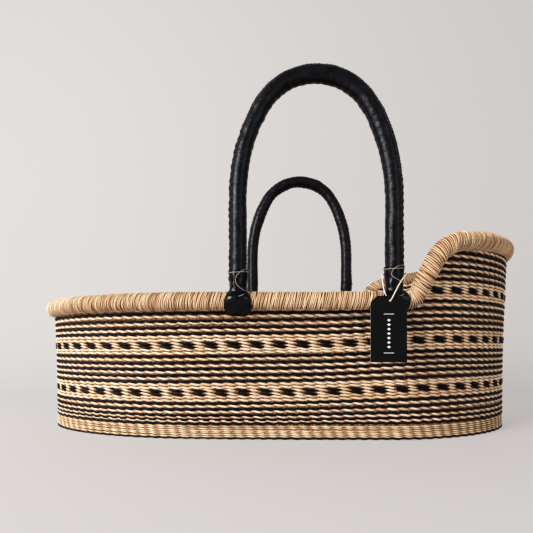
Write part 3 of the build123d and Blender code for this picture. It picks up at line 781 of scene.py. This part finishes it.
def arch(n_per_mm=0.42, start=27.0):
    """Centre line in handle coordinates (x from the middle, z above the rim line), and its outward direction."""
    cx2 = LEG - SIDE_R
    cz1 = ARCH_TOP - ARCH_R
    d = math.hypot(cx2, cz1 - SIDE_START)
    ux, uz = -cx2 / d, (cz1 - SIDE_START) / d
    aend = math.atan2(uz, ux)
    pts = []
    n = int((SIDE_START - start) * n_per_mm)
    for t in np.linspace(start, SIDE_START, n, endpoint=False):
        pts.append((LEG, t))
    n = int(SIDE_R * aend * n_per_mm)
    for a in np.linspace(0, aend, n, endpoint=False):
        pts.append((cx2 + SIDE_R * math.cos(a), SIDE_START + SIDE_R * math.sin(a)))
    n = int(ARCH_R * (math.pi / 2 - aend) * n_per_mm)
    for a in np.linspace(aend, math.pi / 2, n, endpoint=False):
        pts.append((ARCH_R * math.cos(a), cz1 + ARCH_R * math.sin(a)))
    right = np.array(pts)
    left = right.copy()
    left[:, 0] *= -1
    full = np.concatenate([left, [[0, ARCH_TOP]], right[::-1]])
    s = np.r_[0, np.cumsum(np.linalg.norm(np.diff(full, axis=0), axis=1))]
    q = np.linspace(0, s[-1], int(s[-1] * n_per_mm) + 1)
    full = np.stack([np.interp(q, s, full[:, i]) for i in range(2)], -1)
    t = unit(np.gradient(full, axis=0))
    out = np.stack([-t[:, 1], t[:, 0]], -1)
    return full, t, out, q


def noise2(nx, ny, kx, ky, seed, periodic_y=True):
    """Smooth 2-D noise on an nx by ny grid with kx by ky knots."""
    g = np.random.default_rng(seed)
    v = g.normal(size=(kx + 2, ky))
    x = np.linspace(0, kx, nx)
    y = np.arange(ny) * ky / ny
    ix, iy = np.floor(x).astype(int), np.floor(y).astype(int)
    tx, ty = x - ix, y - iy
    tx, ty = tx * tx * (3 - 2 * tx), ty * ty * (3 - 2 * ty)
    ix1, iy1 = np.minimum(ix + 1, kx + 1), (iy + 1) % ky
    a = v[ix][:, iy] * (1 - ty) + v[ix][:, iy1] * ty
    c = v[ix1][:, iy] * (1 - ty) + v[ix1][:, iy1] * ty
    return a * (1 - tx[:, None]) + c * tx[:, None]


def handle(side):
    y0 = -B_RIM if side == "front" else B_RIM
    sy = -1.0 if side == "front" else 1.0       # outward side of the basket
    full, t, out, s = arch()
    n = len(full)
    K = 48
    body = side + "_handle"
    L = s[-1]
    # section angle 0 faces outward in the plane of the arch, 90 degrees faces the viewer's side
    a = np.arange(K) * 2 * math.pi / K
    A, S = np.meshgrid(a, s)
    mid = 1 - np.abs(2 * s / L - 1)
    base = 12.1 + 0.75 * np.clip(mid * 1.6 - 0.25, 0, 1) + 0.26 * smooth_noise(n, 22, rng)
    R = np.repeat(base[:, None], K, 1)
    sd = 5 if side == "front" else 9
    # creases across the leather, stronger on the inside of the bend
    fine = noise2(n, K, int(L / 5.0), 7, sd)
    fine2 = noise2(n, K, int(L / 11.0), 5, sd + 1)
    broad = noise2(n, K, int(L / 30.0), 4, sd + 2)
    curve = np.clip((full[:, 1] - 120) / 120, 0, 1)
    inner = np.clip(-np.cos(a), 0, 1)
    R += 0.13 * fine + 0.30 * fine2 + 0.30 * broad
    rip = np.sin(2 * math.pi * s / 11.5 + 1.3 * smooth_noise(n, 30, rng))
    R += (0.32 * (0.35 + 0.65 * curve) * rip)[:, None] * inner[None, :] ** 2
    # sewn ridge near the outer edge, pinched by lacing every 10 mm
    a_s = math.radians(10)
    pitch = 10.0
    ph = (s / pitch) % 1.0
    scal = np.abs(np.sin(math.pi * ph)) ** 0.6
    da = np.angle(np.exp(1j * (A - a_s)))
    ridge = np.exp(-(da / math.radians(11)) ** 2)
    show = np.clip(np.abs(s / L - 0.5) * 5 - 0.15, 0.25, 1)
    R += ridge * (0.15 + (0.35 + 1.6 * show) * scal)[:, None]
    dg = np.angle(np.exp(1j * (A - a_s - math.radians(24))))
    R -= 0.75 * np.exp(-(dg / math.radians(7)) ** 2) * (0.6 + 0.4 * scal)[:, None]
    # overlap steps where one piece of leather ends over the next
    for s0, h in ((L - 62.0, 0.5), (L * 0.30, 0.35), (L * 0.62, 0.35)):
        R += h * (0.5 + 0.5 * np.tanh((S - s0 - 1.5 * np.sin(A)) / 0.9)) * np.exp(-np.clip(S - s0, 0, None) / 14)
    base_pt = np.stack([HX + full[:, 0], np.full(n, y0), RIM_Z + full[:, 1]], -1)
    O = np.stack([out[:, 0], 0 * s, out[:, 1]], -1)
    Fv = np.zeros((n, 3)); Fv[:, 1] = sy
    V = base_pt[:, None, :] + R[..., None] * (np.cos(A)[..., None] * O[:, None, :] + np.sin(A)[..., None] * Fv[:, None, :])
    idx = np.arange(n * K).reshape(n, K)
    q = np.stack([idx[:-1], idx[1:], np.roll(idx[1:], -1, 1), np.roll(idx[:-1], -1, 1)], -1).reshape(-1, 4)
    if sy > 0:
        q = q[:, ::-1]
    V = V.reshape(-1, 3)
    # end caps
    c0, c1 = base_pt[0], base_pt[-1]
    V = np.concatenate([V, [c0, c1]])
    k = np.arange(K)
    t0 = np.stack([np.full(K, n * K), idx[0], np.roll(idx[0], -1)], -1)
    t1 = np.stack([np.full(K, n * K + 1), np.roll(idx[-1], -1), idx[-1]], -1)
    if sy > 0:
        t0, t1 = t0[:, ::-1], t1[:, ::-1]
    # bake strips: six lengths
    ii, kk = np.meshgrid(np.arange(n - 1), np.arange(K), indexing="ij")
    parts = 6
    per = int(math.ceil((n - 1) / parts))
    def uvp(i, k, col):
        return np.stack([(i - col * per + 0.5) / (per + 1), (col + 0.04 + 0.92 * k / K) / parts], -1)
    col = ii // per
    b4 = [uvp(ii, kk, col), uvp(ii + 1, kk, col), uvp(ii + 1, kk + 1, col), uvp(ii, kk + 1, col)]
    if sy > 0:
        b4 = b4[::-1]
    bake = np.stack(b4, -2).reshape(-1, 2)
    u4 = [np.stack([s[ii] / 10, kk / K * 8], -1), np.stack([s[ii + 1] / 10, kk / K * 8], -1),
          np.stack([s[ii + 1] / 10, (kk + 1) / K * 8], -1), np.stack([s[ii] / 10, (kk + 1) / K * 8], -1)]
    if sy > 0:
        u4 = u4[::-1]
    uv = np.stack(u4, -2).reshape(-1, 2)
    tz = np.zeros((2 * K * 3, 2)) + 0.002
    data = [V, q, np.concatenate([t0, t1]), np.concatenate([uv, tz]), np.concatenate([bake, tz]), None]
    piece(side + "_handle_sleeve", data, leather, body, [side + "_handle_leather", side + "_handle_core"])
    # lacing over the ridge
    ns = int(L / pitch)
    cen, NNv, BBv = [], [], []
    m = 9
    for k in range(1, ns):
        sk = k * pitch
        if sk < 18 or sk > L - 18:
            continue
        aa = np.linspace(a_s + math.radians(27), a_s - math.radians(22), m)
        ss = sk + np.linspace(-1.6, 1.6, m)
        C0 = np.stack([np.interp(ss, s, base_pt[:, i]) for i in range(3)], -1)
        O0 = unit(np.stack([np.interp(ss, s, O[:, i]) for i in range(3)], -1))
        F0 = np.zeros((m, 3)); F0[:, 1] = sy
        rloc = np.interp(ss, s, base) + 0.85 * np.exp(-((aa - a_s) / math.radians(13)) ** 2) - 0.25 * np.abs(np.linspace(-1, 1, m)) ** 6
        rad = np.cos(aa)[:, None] * O0 + np.sin(aa)[:, None] * F0
        c = C0 + rad * rloc[:, None]
        D = unit(np.gradient(c, axis=0))
        cen.append(c); NNv.append(rad); BBv.append(np.cross(D, rad))
    cen, NNv, BBv = np.array(cen), np.array(NNv), np.array(BBv)
    piece(side + "_handle_lacing", tubes(cen, NNv, BBv, 0.45, 0.8, 6, False), lace_mat, body, [side + "_handle_seam"])
    for end, x in (("left", HX - LEG), ("right", HX + LEG)):
        cuff_and_patch(side, end, x, y0, sy)


def ring_surface(rings, close_ends=True):
    """Closed-section loft through rings (R,K,3)."""
    R, K = rings.shape[:2]
    idx = np.arange(R * K).reshape(R, K)
    q = np.stack([idx[:-1], np.roll(idx[:-1], -1, 1), np.roll(idx[1:], -1, 1), idx[1:]], -1).reshape(-1, 4)
    V = rings.reshape(-1, 3)
    V = np.concatenate([V, [rings[0].mean(0), rings[-1].mean(0)]])
    t0 = np.stack([np.full(K, R * K), np.roll(idx[0], -1), idx[0]], -1)
    t1 = np.stack([np.full(K, R * K + 1), idx[-1], np.roll(idx[-1], -1)], -1)
    ii, kk = np.meshgrid(np.arange(R - 1), np.arange(K), indexing="ij")
    def uvp(i, k):
        return np.stack([0.03 + 0.94 * k / K, 0.03 + 0.94 * i / (R - 1)], -1)
    bake = np.stack([uvp(ii, kk), uvp(ii, kk + 1), uvp(ii + 1, kk + 1), uvp(ii + 1, kk)], -2).reshape(-1, 2)
    tz = np.zeros((2 * K * 3, 2)) + 0.005
    bake = np.concatenate([bake, tz])
    return [V, q, np.concatenate([t0, t1]), bake.copy(), bake, None]


def thread_tube(pts, radius, sides=7, n=None):
    """Tube through given points (mm), smoothed."""
    pts = np.asarray(pts, float)
    d = np.r_[0, np.cumsum(np.linalg.norm(np.diff(pts, axis=0), axis=1))]
    n = n or max(12, int(d[-1] / 1.2))
    q = np.linspace(0, d[-1], n)
    C = np.stack([np.interp(q, d, pts[:, i]) for i in range(3)], -1)
    for _ in range(4):
        C[1:-1] = (C[:-2] + 2 * C[1:-1] + C[2:]) / 4
    D = unit(np.gradient(C, axis=0))
    ref = np.array([0.3, 0.2, 1.0])
    N1 = unit(np.cross(D, ref))
    B1 = np.cross(D, N1)
    return tubes(C[None], N1[None], B1[None], radius, radius, sides, False)


def cuff_radius(zr, top):
    """Half sizes across X and Y of the cuff at a height above the rim line."""
    t = np.clip((zr - 14) / (top - 14), 0, 1)
    bell = np.clip((19.5 - zr) / 11.0, 0, 1)
    ax = 12.5 + 1.9 * t ** 1.5 + 4.4 * bell ** 1.7
    ay = 11.4 + 2.9 * np.clip((zr - 14) / 14, 0, 1) ** 0.8 + 3.5 * bell ** 1.25
    return ax, np.minimum(ay, ax + 0.2)


def cuff_and_patch(side, end, x, y0, sy):
    g = np.random.default_rng({"frontleft": 3, "frontright": 4, "backleft": 5, "backright": 6}[side + end])
    top = 43.5 if end == "left" else 48.0
    K = 40
    a = np.arange(K) * 2 * math.pi / K
    rings = []
    levels = np.r_[np.linspace(8.6, 17, 9), np.linspace(18.2, top, 23)]
    fold = g.uniform(0.6, 1.4, size=3)
    for zr in levels:
        ax, ay = cuff_radius(zr, top)
        wr = 0.34 * np.sin(3 * a + fold[0] * 4) * np.sin(zr / 3.6 + fold[1] * 5) + 0.20 * np.sin(7 * a + zr / 2.2)
        wr = wr * min(1.0, (zr - 8.0) / 8)
        # overlapping flap: a soft step running diagonally across the front
        ang = np.angle(np.exp(1j * (a - math.radians(235) - (zr - 30) / 26)))
        step = 0.55 * (0.5 + 0.5 * np.tanh(ang / 0.10)) * np.exp(-np.clip(ang, 0, None) / 0.9)
        r = 1 + 0 * a
        px = (ax + wr + step) * np.cos(a)
        py = (ay + wr + step) * np.sin(a)
        tip = 1.1 * np.sin(a + 0.7) * np.clip((zr - top + 8) / 8, 0, 1)
        rings.append(np.stack([x + px, y0 - sy * 0 + py, RIM_Z + zr + tip + 0 * a], -1))
    # turned-in top edge, thick leather
    last = rings[-1]
    ctr = last.mean(0)
    for dr, dz in ((0.25, 0.45), (-0.35, 0.75), (-1.0, 0.4), (-1.5, -0.8), (-2.2, -3.0)):
        v = last - ctr
        rad = np.linalg.norm(v[:, :2], axis=1, keepdims=True)
        rings.append(last + np.concatenate([v[:, :2] / rad * dr, np.full((K, 1), dz)], 1))
    data = ring_surface(np.array(rings))
    V, Q, T3, uv, bk, c = data
    name = side + "_" + end + "_cuff_leather"
    ob = make_mesh(name, V, Q, T3, uv, bk, c, leather_patch)
    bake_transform(ob)
    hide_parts(side + "_" + end + "_cuff")

    # patch: bell-shaped leather wrapped over the rim and tucked into the weave below it
    wall_o = -(B_RIM - float(half_width(RIM_Z - 21)))
    prof = [(wall_o + 1.2, -21.5), (wall_o + 3.6, -18.8), (2.0, -15.0)]
    prof += [(14.2 * math.cos(t), 14.2 * math.sin(t)) for t in np.radians([-62, -45, -25, -5, 15, 32, 48, 62, 75, 90, 105, 118, 132, 148, 165, 185, 205, 225])]
    prof += [(wall_o - 6.5, -16.0), (wall_o - 6.8, -20.5)]
    prof = np.array(prof)
    d = np.r_[0, np.cumsum(np.linalg.norm(np.diff(prof, axis=0), axis=1))]
    m = 64
    q = np.linspace(0, d[-1], m)
    pr = np.stack([np.interp(q, d, prof[:, i]) for i in range(2)], -1)
    for _ in range(3):
        pr[1:-1] = (pr[:-2] + 2 * pr[1:-1] + pr[2:]) / 4
    tang = unit(np.gradient(pr, axis=0))
    nrm = np.stack([tang[:, 1], -tang[:, 0]], -1)
    ang = np.degrees(np.arctan2(pr[:, 1], pr[:, 0]))
    hw = np.interp(pr[:, 1], [-21.5, -19.8, -17.5, -13, -7, -1, 3, 6.5, 9.5, 12, 14.5], [11.0, 15.0, 17.8, 19.4, 19.7, 19.3, 18.6, 17.5, 15.9, 14.2, 12.6])
    hw = hw + 0.35 * np.sin(q / 5.0 + g.uniform(0, 6))
    K2 = 28
    b = np.arange(K2) * 2 * math.pi / K2
    ring = []
    for i in range(m):
        cb, sb = np.cos(b), np.sin(b)
        xs_ = np.sign(cb) * np.abs(cb) ** 0.75 * hw[i]
        up = np.where(sb >= 0, 3.0 * np.abs(sb) ** 0.9, -0.9 * np.abs(sb) ** 0.6)
        end_thin = np.clip(min(i, m - 1 - i) / 5.0, 0.25, 1)
        up = up * end_thin
        wr = 0.25 * np.sin(xs_ / 4.3 + i / 6.0) * np.clip(sb, 0, 1)
        # the leg's roundness carries on down the front of the patch
        belly = (4.2 if end == "left" else 0.8) * np.clip(1 - (xs_ / hw[i]) ** 2, 0, 1) * np.clip(sb * 3, 0, 1)
        belly = belly * np.clip((pr[i, 1] + 12) / 12, 0, 1) * np.clip((10.5 - pr[i, 1]) / 6, 0, 1) * (1.0 if pr[i, 0] > 0 else 0.0) * np.clip(pr[i, 0] / 6, 0, 1)
        o = pr[i, 0] + nrm[i, 0] * (up + wr + 0.25) + belly
        zz = pr[i, 1] + nrm[i, 1] * (up + wr + 0.25)
        ring.append(np.stack([x + xs_, y0 + sy * o, RIM_Z + zz], -1))
    ring = np.array(ring)
    if sy > 0:
        ring = ring[:, ::-1]
    data = ring_surface(ring)
    piece(side + "_" + end + "_patch_leather", data, leather_patch, "basket", [side + "_" + end + "_rim_patch"])

    # waxed thread: a turn under the top edge and a loose loop over the front of the cuff
    def on_cuff(dx, zr, lift=0.75):
        ax, ay = cuff_radius(zr, top)
        dx = np.clip(dx, -ax * 0.999, ax * 0.999)
        return (x + dx, y0 + sy * (ay * math.sqrt(max(0.0, 1 - (dx / ax) ** 2)) + lift), RIM_Z + zr)
    turn = []
    ax, ay = cuff_radius(top - 2, top)
    for k in range(26):
        t = 2 * math.pi * k / 26 + 2.6
        turn.append((x + (ax + 0.8) * math.cos(t), y0 + (ay + 0.8) * math.sin(t), RIM_Z + top - 2.4 + 1.8 * math.sin(t + 0.6) - 1.0 * k / 26))
    flip = 1.0
    if end == "left":
        loop = [(13.2, 45.0), (9.5, 43.2), (4.9, 40.2), (1.0, 37.0), (-1.9, 33.1), (-3.2, 28.0), (-2.4, 24.2), (-0.4, 21.0), (4.9, 16.0), (11.5, 12.8)]
    else:
        loop = [(12.6, 50.5), (9.7, 50.2), (0.9, 47.0), (-4.2, 43.2), (-7.0, 37.5), (-6.4, 34.0), (-3.0, 30.8), (2.0, 28.2), (6.4, 26.3), (11.0, 23.5)]
    lp = [on_cuff(dx * flip, min(zr, top + 1.0)) for dx, zr in loop]
    data = join([thread_tube(turn, 0.5), thread_tube(lp, 0.5)])
    rr = 17.6 + (3.4 if end == "left" else 0.6)
    tail = [(x + dx, y0 + sy * (rr + 0.3) * math.cos(math.asin(dz / rr)), RIM_Z + dz) for dx, dz in ((2.2, 4.3), (4.6, 5.0), (7.4, 6.0), (9.5, 7.6))]
    stub = thread_tube(tail, 0.5)
    piece(side + "_" + end + "_thread_tail", stub, thread_mat, "basket")
    V, Q, T3, uv, bk, c = data
    ob = make_mesh(side + "_" + end + "_waxed_thread", V, Q, T3, uv, bk, c, thread_mat)
    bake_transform(ob)
    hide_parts(side + "_" + end + "_thread")


handle("front")
handle("back")

# ------------------------------------------------------------------ hang tag
TW, TH, TT, TC = 50.5, 92.5, 1.0, 9.0
hole_z = RIM_Z - 3.0
tag_top = hole_z + 7.5
tag_x = 176.0
tag_y = -B_RIM - 22.0


def tag_outline(inset):
    h = TW / 2 - inset
    c = TC - inset * 0.4
    return [(-h, tag_top - TH + inset), (h, tag_top - TH + inset), (h, tag_top - c - inset * 0.3), (h - c + inset * 0.3, tag_top - inset),
            (-h + c - inset * 0.3, tag_top - inset), (-h, tag_top - c - inset * 0.3)]


def card(name):
    import bmesh
    bm = bmesh.new()
    hole = [(1.5 + 2.4 * math.cos(t), hole_z + 2.4 * math.sin(t)) for t in np.linspace(0, 2 * math.pi, 24, endpoint=False)]
    outer = tag_outline(0)
    # dense outline so that the card can curl slightly
    def densify(pts, step=4.0):
        o = []
        for p, q in zip(pts, pts[1:] + pts[:1]):
            k = max(1, int(math.dist(p, q) / step))
            o += [(p[0] + (q[0] - p[0]) * i / k, p[1] + (q[1] - p[1]) * i / k) for i in range(k)]
        return o
    outer = densify(outer)
    def bend(px, pz):
        return 0.9 * (px / (TW / 2)) ** 2 - 0.5 * ((pz - tag_top + TH / 2) / (TH / 2)) ** 2
    v_out = [bm.verts.new((p[0], 0, p[1])) for p in outer]
    v_hole = [bm.verts.new((p[0], 0, p[1])) for p in hole]
    eo = [bm.edges.new((v_out[i], v_out[(i + 1) % len(v_out)])) for i in range(len(v_out))]
    eh = [bm.edges.new((v_hole[i], v_hole[(i + 1) % len(v_hole)])) for i in range(len(v_hole))]
    bmesh.ops.triangle_fill(bm, use_beauty=True, edges=eo + eh)
    bmesh.ops.recalc_face_normals(bm, faces=bm.faces)
    if sum(f.normal.y for f in bm.faces) > 0:
        bmesh.ops.reverse_faces(bm, faces=bm.faces)
    front = list(bm.faces)
    r = bmesh.ops.extrude_face_region(bm, geom=front)
    for v in [g for g in r["geom"] if isinstance(g, bmesh.types.BMVert)]:
        v.co.y -= TT
    bmesh.ops.recalc_face_normals(bm, faces=bm.faces)
    for v in bm.verts:
        v.co.y += bend(v.co.x, v.co.z) * 0.5
        v.co = ((v.co.x + tag_x) * MM, (v.co.y + tag_y + TT / 2) * MM, v.co.z * MM)
    me = bpy.data.meshes.new(name)
    bm.to_mesh(me)
    bm.free()
    me.materials.append(card_mat)
    me.materials.append(card_edge)
    for p in me.polygons:
        if abs(p.normal.y) < 0.7:
            p.material_index = 1
    ob = bpy.data.objects.new(name, me)
    bpy.context.scene.collection.objects.link(ob)
    bv = ob.modifiers.new("edge", "BEVEL")
    bv.width = 0.00022
    bv.segments = 2
    bv.limit_method = "ANGLE"
    return ob


tag = card("hang_tag_card")
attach(tag, "hang_tag")
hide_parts("hang_tag")

# plain printed ornament: a column of small lozenges between two short rules
V, Q, off = [], [], 0


def plate(cx, cz, pts):
    global off
    face = [(tag_x + cx + px, cz + pz) for px, pz in pts]
    for yy in (tag_y - TT / 2 - 0.10, tag_y - TT / 2 + 0.10):
        for px, pz in face:
            bend_y = 0.5 * (0.9 * ((px - tag_x) / (TW / 2)) ** 2 - 0.5 * ((pz - tag_top + TH / 2) / (TH / 2)) ** 2)
            V.append((px, yy + bend_y, pz))
    Q.append([off, off + 1, off + 2, off + 3])
    Q.append([off + 7, off + 6, off + 5, off + 4])
    for i in range(4):
        j = (i + 1) % 4
        Q.append([off + j, off + i, off + 4 + i, off + 4 + j])
    off += 8


for k in range(7):
    plate(0.0, tag_top - 34 - k * 6.2, [(-2.6, 0), (0, -1.9), (2.6, 0), (0, 1.9)])
for cz in (tag_top - 25.5, tag_top - 79.5):
    plate(0.0, cz, [(-7, -0.4), (7, -0.4), (7, 0.4), (-7, 0.4)])
orn = make_mesh("tag_ornament", np.array(V), np.array(Q), material=print_mat, smooth=False)
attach(orn, "hang_tag")

# ------------------------------------------------------------------ tag string
lx = HX + LEG
SH = 40.0
string_pts = [
    (lx - 17.4, -B_RIM - 1.6, RIM_Z + SH - 1.4),
    (lx - 18.6, -B_RIM - 8.6, RIM_Z + SH - 8.6),
    (lx - 19.9, -B_RIM - 16.0, RIM_Z + SH - 18.4),
    (lx - 18.7, -B_RIM - 19.4, RIM_Z + SH - 29.0),
    (lx - 15.6, -B_RIM - 19.8, RIM_Z + SH - 36.5),
    (lx - 12.2, -B_RIM - 20.2, RIM_Z + SH - 41.7),
    (lx - 11.5, -B_RIM - 22.0, RIM_Z + SH - 43.1),
    (lx - 10.7, -B_RIM - 24.2, RIM_Z + SH - 42.2),
    (lx - 6.5, -B_RIM - 25.6, RIM_Z + SH - 33.5),
    (lx + 0.5, -B_RIM - 24.6, RIM_Z + SH - 20.0),
    (lx + 8.4, -B_RIM - 18.6, RIM_Z + SH - 9.4),
    (lx + 15.4, -B_RIM - 9.8, RIM_Z + SH - 4.0),
    (lx + 17.4, -B_RIM - 1.6, RIM_Z + SH - 1.4),
]
cu = bpy.data.curves.new("tag_string_line", "CURVE")
cu.dimensions = "3D"
sp = cu.splines.new("NURBS")
sp.points.add(len(string_pts) - 1)
for pt, co in zip(sp.points, string_pts):
    pt.co = (co[0] * MM, co[1] * MM, co[2] * MM, 1)
sp.order_u = 3
sp.use_endpoint_u = True
cu.resolution_u = 10
cu.bevel_depth = 0.0008
cu.bevel_resolution = 3
cu.use_fill_caps = True
cu.materials.append(string_mat)
string = bpy.data.objects.new("tag_string_cord", cu)
bpy.context.scene.collection.objects.link(string)
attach(string, "hang_tag")
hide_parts("tag_string")

# the string goes on round the back of the leg
pts = [(lx + 17.4 * math.cos(t), -B_RIM + 17.2 * math.sin(t) - 0.4, RIM_Z + SH - 1.0 + 0.6 * math.sin(t) ** 2) for t in np.linspace(math.pi, 0, 30)]
piece("tag_string_turn", thread_tube(pts, 0.75, 8), string_mat, "front_handle", ["tag_string_loop"])

# ------------------------------------------------------------------ stage, camera, light
def stage_mesh():
    prof = []
    y_back, r = 0.95, 0.55
    prof += [(-3.2, 0.0), (-1.5, 0.0), (0.0, 0.0), (y_back - r, 0.0)]
    for k in range(1, 15):
        t = math.pi / 2 * k / 14
        prof.append((y_back - r + r * math.sin(t), r - r * math.cos(t)))
    prof += [(y_back, 1.5), (y_back, 4.0)]
    V = [(-6, y, z) for y, z in prof] + [(6, y, z) for y, z in prof]
    n = len(prof)
    F = [(i, i + 1, n + i + 1, n + i) for i in range(n - 1)]
    me = bpy.data.meshes.new("stage")
    me.from_pydata(V, [], F)
    for p in me.polygons:
        p.use_smooth = True
    ob = bpy.data.objects.new("stage", me)
    bpy.context.scene.collection.objects.link(ob)
    m, nt, b = node_material("stage", 0.9, 0.2)
    b.inputs["Base Color"].default_value = (0.28, 0.268, 0.262, 1)
    b.inputs["Emission Color"].default_value = (0.66, 0.635, 0.625, 1)
    b.inputs["Emission Strength"].default_value = 0.47
    me.materials.append(m)
    return ob


stage_mesh()

cam_data = bpy.data.cameras.new("camera")
cam = bpy.data.objects.new("camera", cam_data)
bpy.context.scene.collection.objects.link(cam)
bpy.context.scene.camera = cam
cam_data.sensor_width = 36.0
F_PX = 430.0
cam_data.lens = F_PX / 533 * 36
cam_data.shift_x = 0.0
cam_data.shift_y = (344.6 - 266.5) / 533
cam.location = (0.0175, -0.8284, 0.1476)
cam.rotation_euler = (math.pi / 2, 0.0, 0.0188)
cam_data.clip_start = 0.02


def area(name, loc, target, size, power, colour=(1, 1, 1)):
    d = bpy.data.lights.new(name, "AREA")
    d.shape = "RECTANGLE"
    d.size, d.size_y = size
    d.energy = power
    d.color = colour
    o = bpy.data.objects.new(name, d)
    bpy.context.scene.collection.objects.link(o)
    o.location = loc
    from mathutils import Vector
    o.rotation_euler = (Vector(target) - Vector(loc)).to_track_quat("-Z", "Y").to_euler()
    return o


area("key", (-1.9, -1.8, 1.35), (0.0, -0.1, 0.18), (1.1, 1.2), 80, (1.0, 0.985, 0.97))
area("strip", (-1.45, -1.15, 0.55), (0.0, -0.2, 0.30), (0.18, 1.1), 7, (0.94, 0.97, 1.0))
area("fill", (1.7, -2.1, 1.0), (0.1, 0, 0.2), (1.6, 1.6), 13, (1.0, 0.98, 0.97))
world = bpy.data.worlds.new("world")
bpy.context.scene.world = world
world.use_nodes = True
world.node_tree.nodes["Background"].inputs[0].default_value = (0.97, 0.96, 0.97, 1)
world.node_tree.nodes["Background"].inputs[1].default_value = 0.32
view = bpy.context.scene.view_settings
view.view_transform = "Standard"
view.look = "None"
view.use_curve_mapping = True
tone = view.curve_mapping
tone.extend = "HORIZONTAL"
curve = tone.curves[3]
for x_, y_ in ((0.01, 0.004), (0.03, 0.017), (0.10, 0.085), (0.25, 0.26), (0.50, 0.58), (0.80, 0.88)):
    curve.points.new(x_, y_)
tone.update()

bpy.context.view_layer.update()
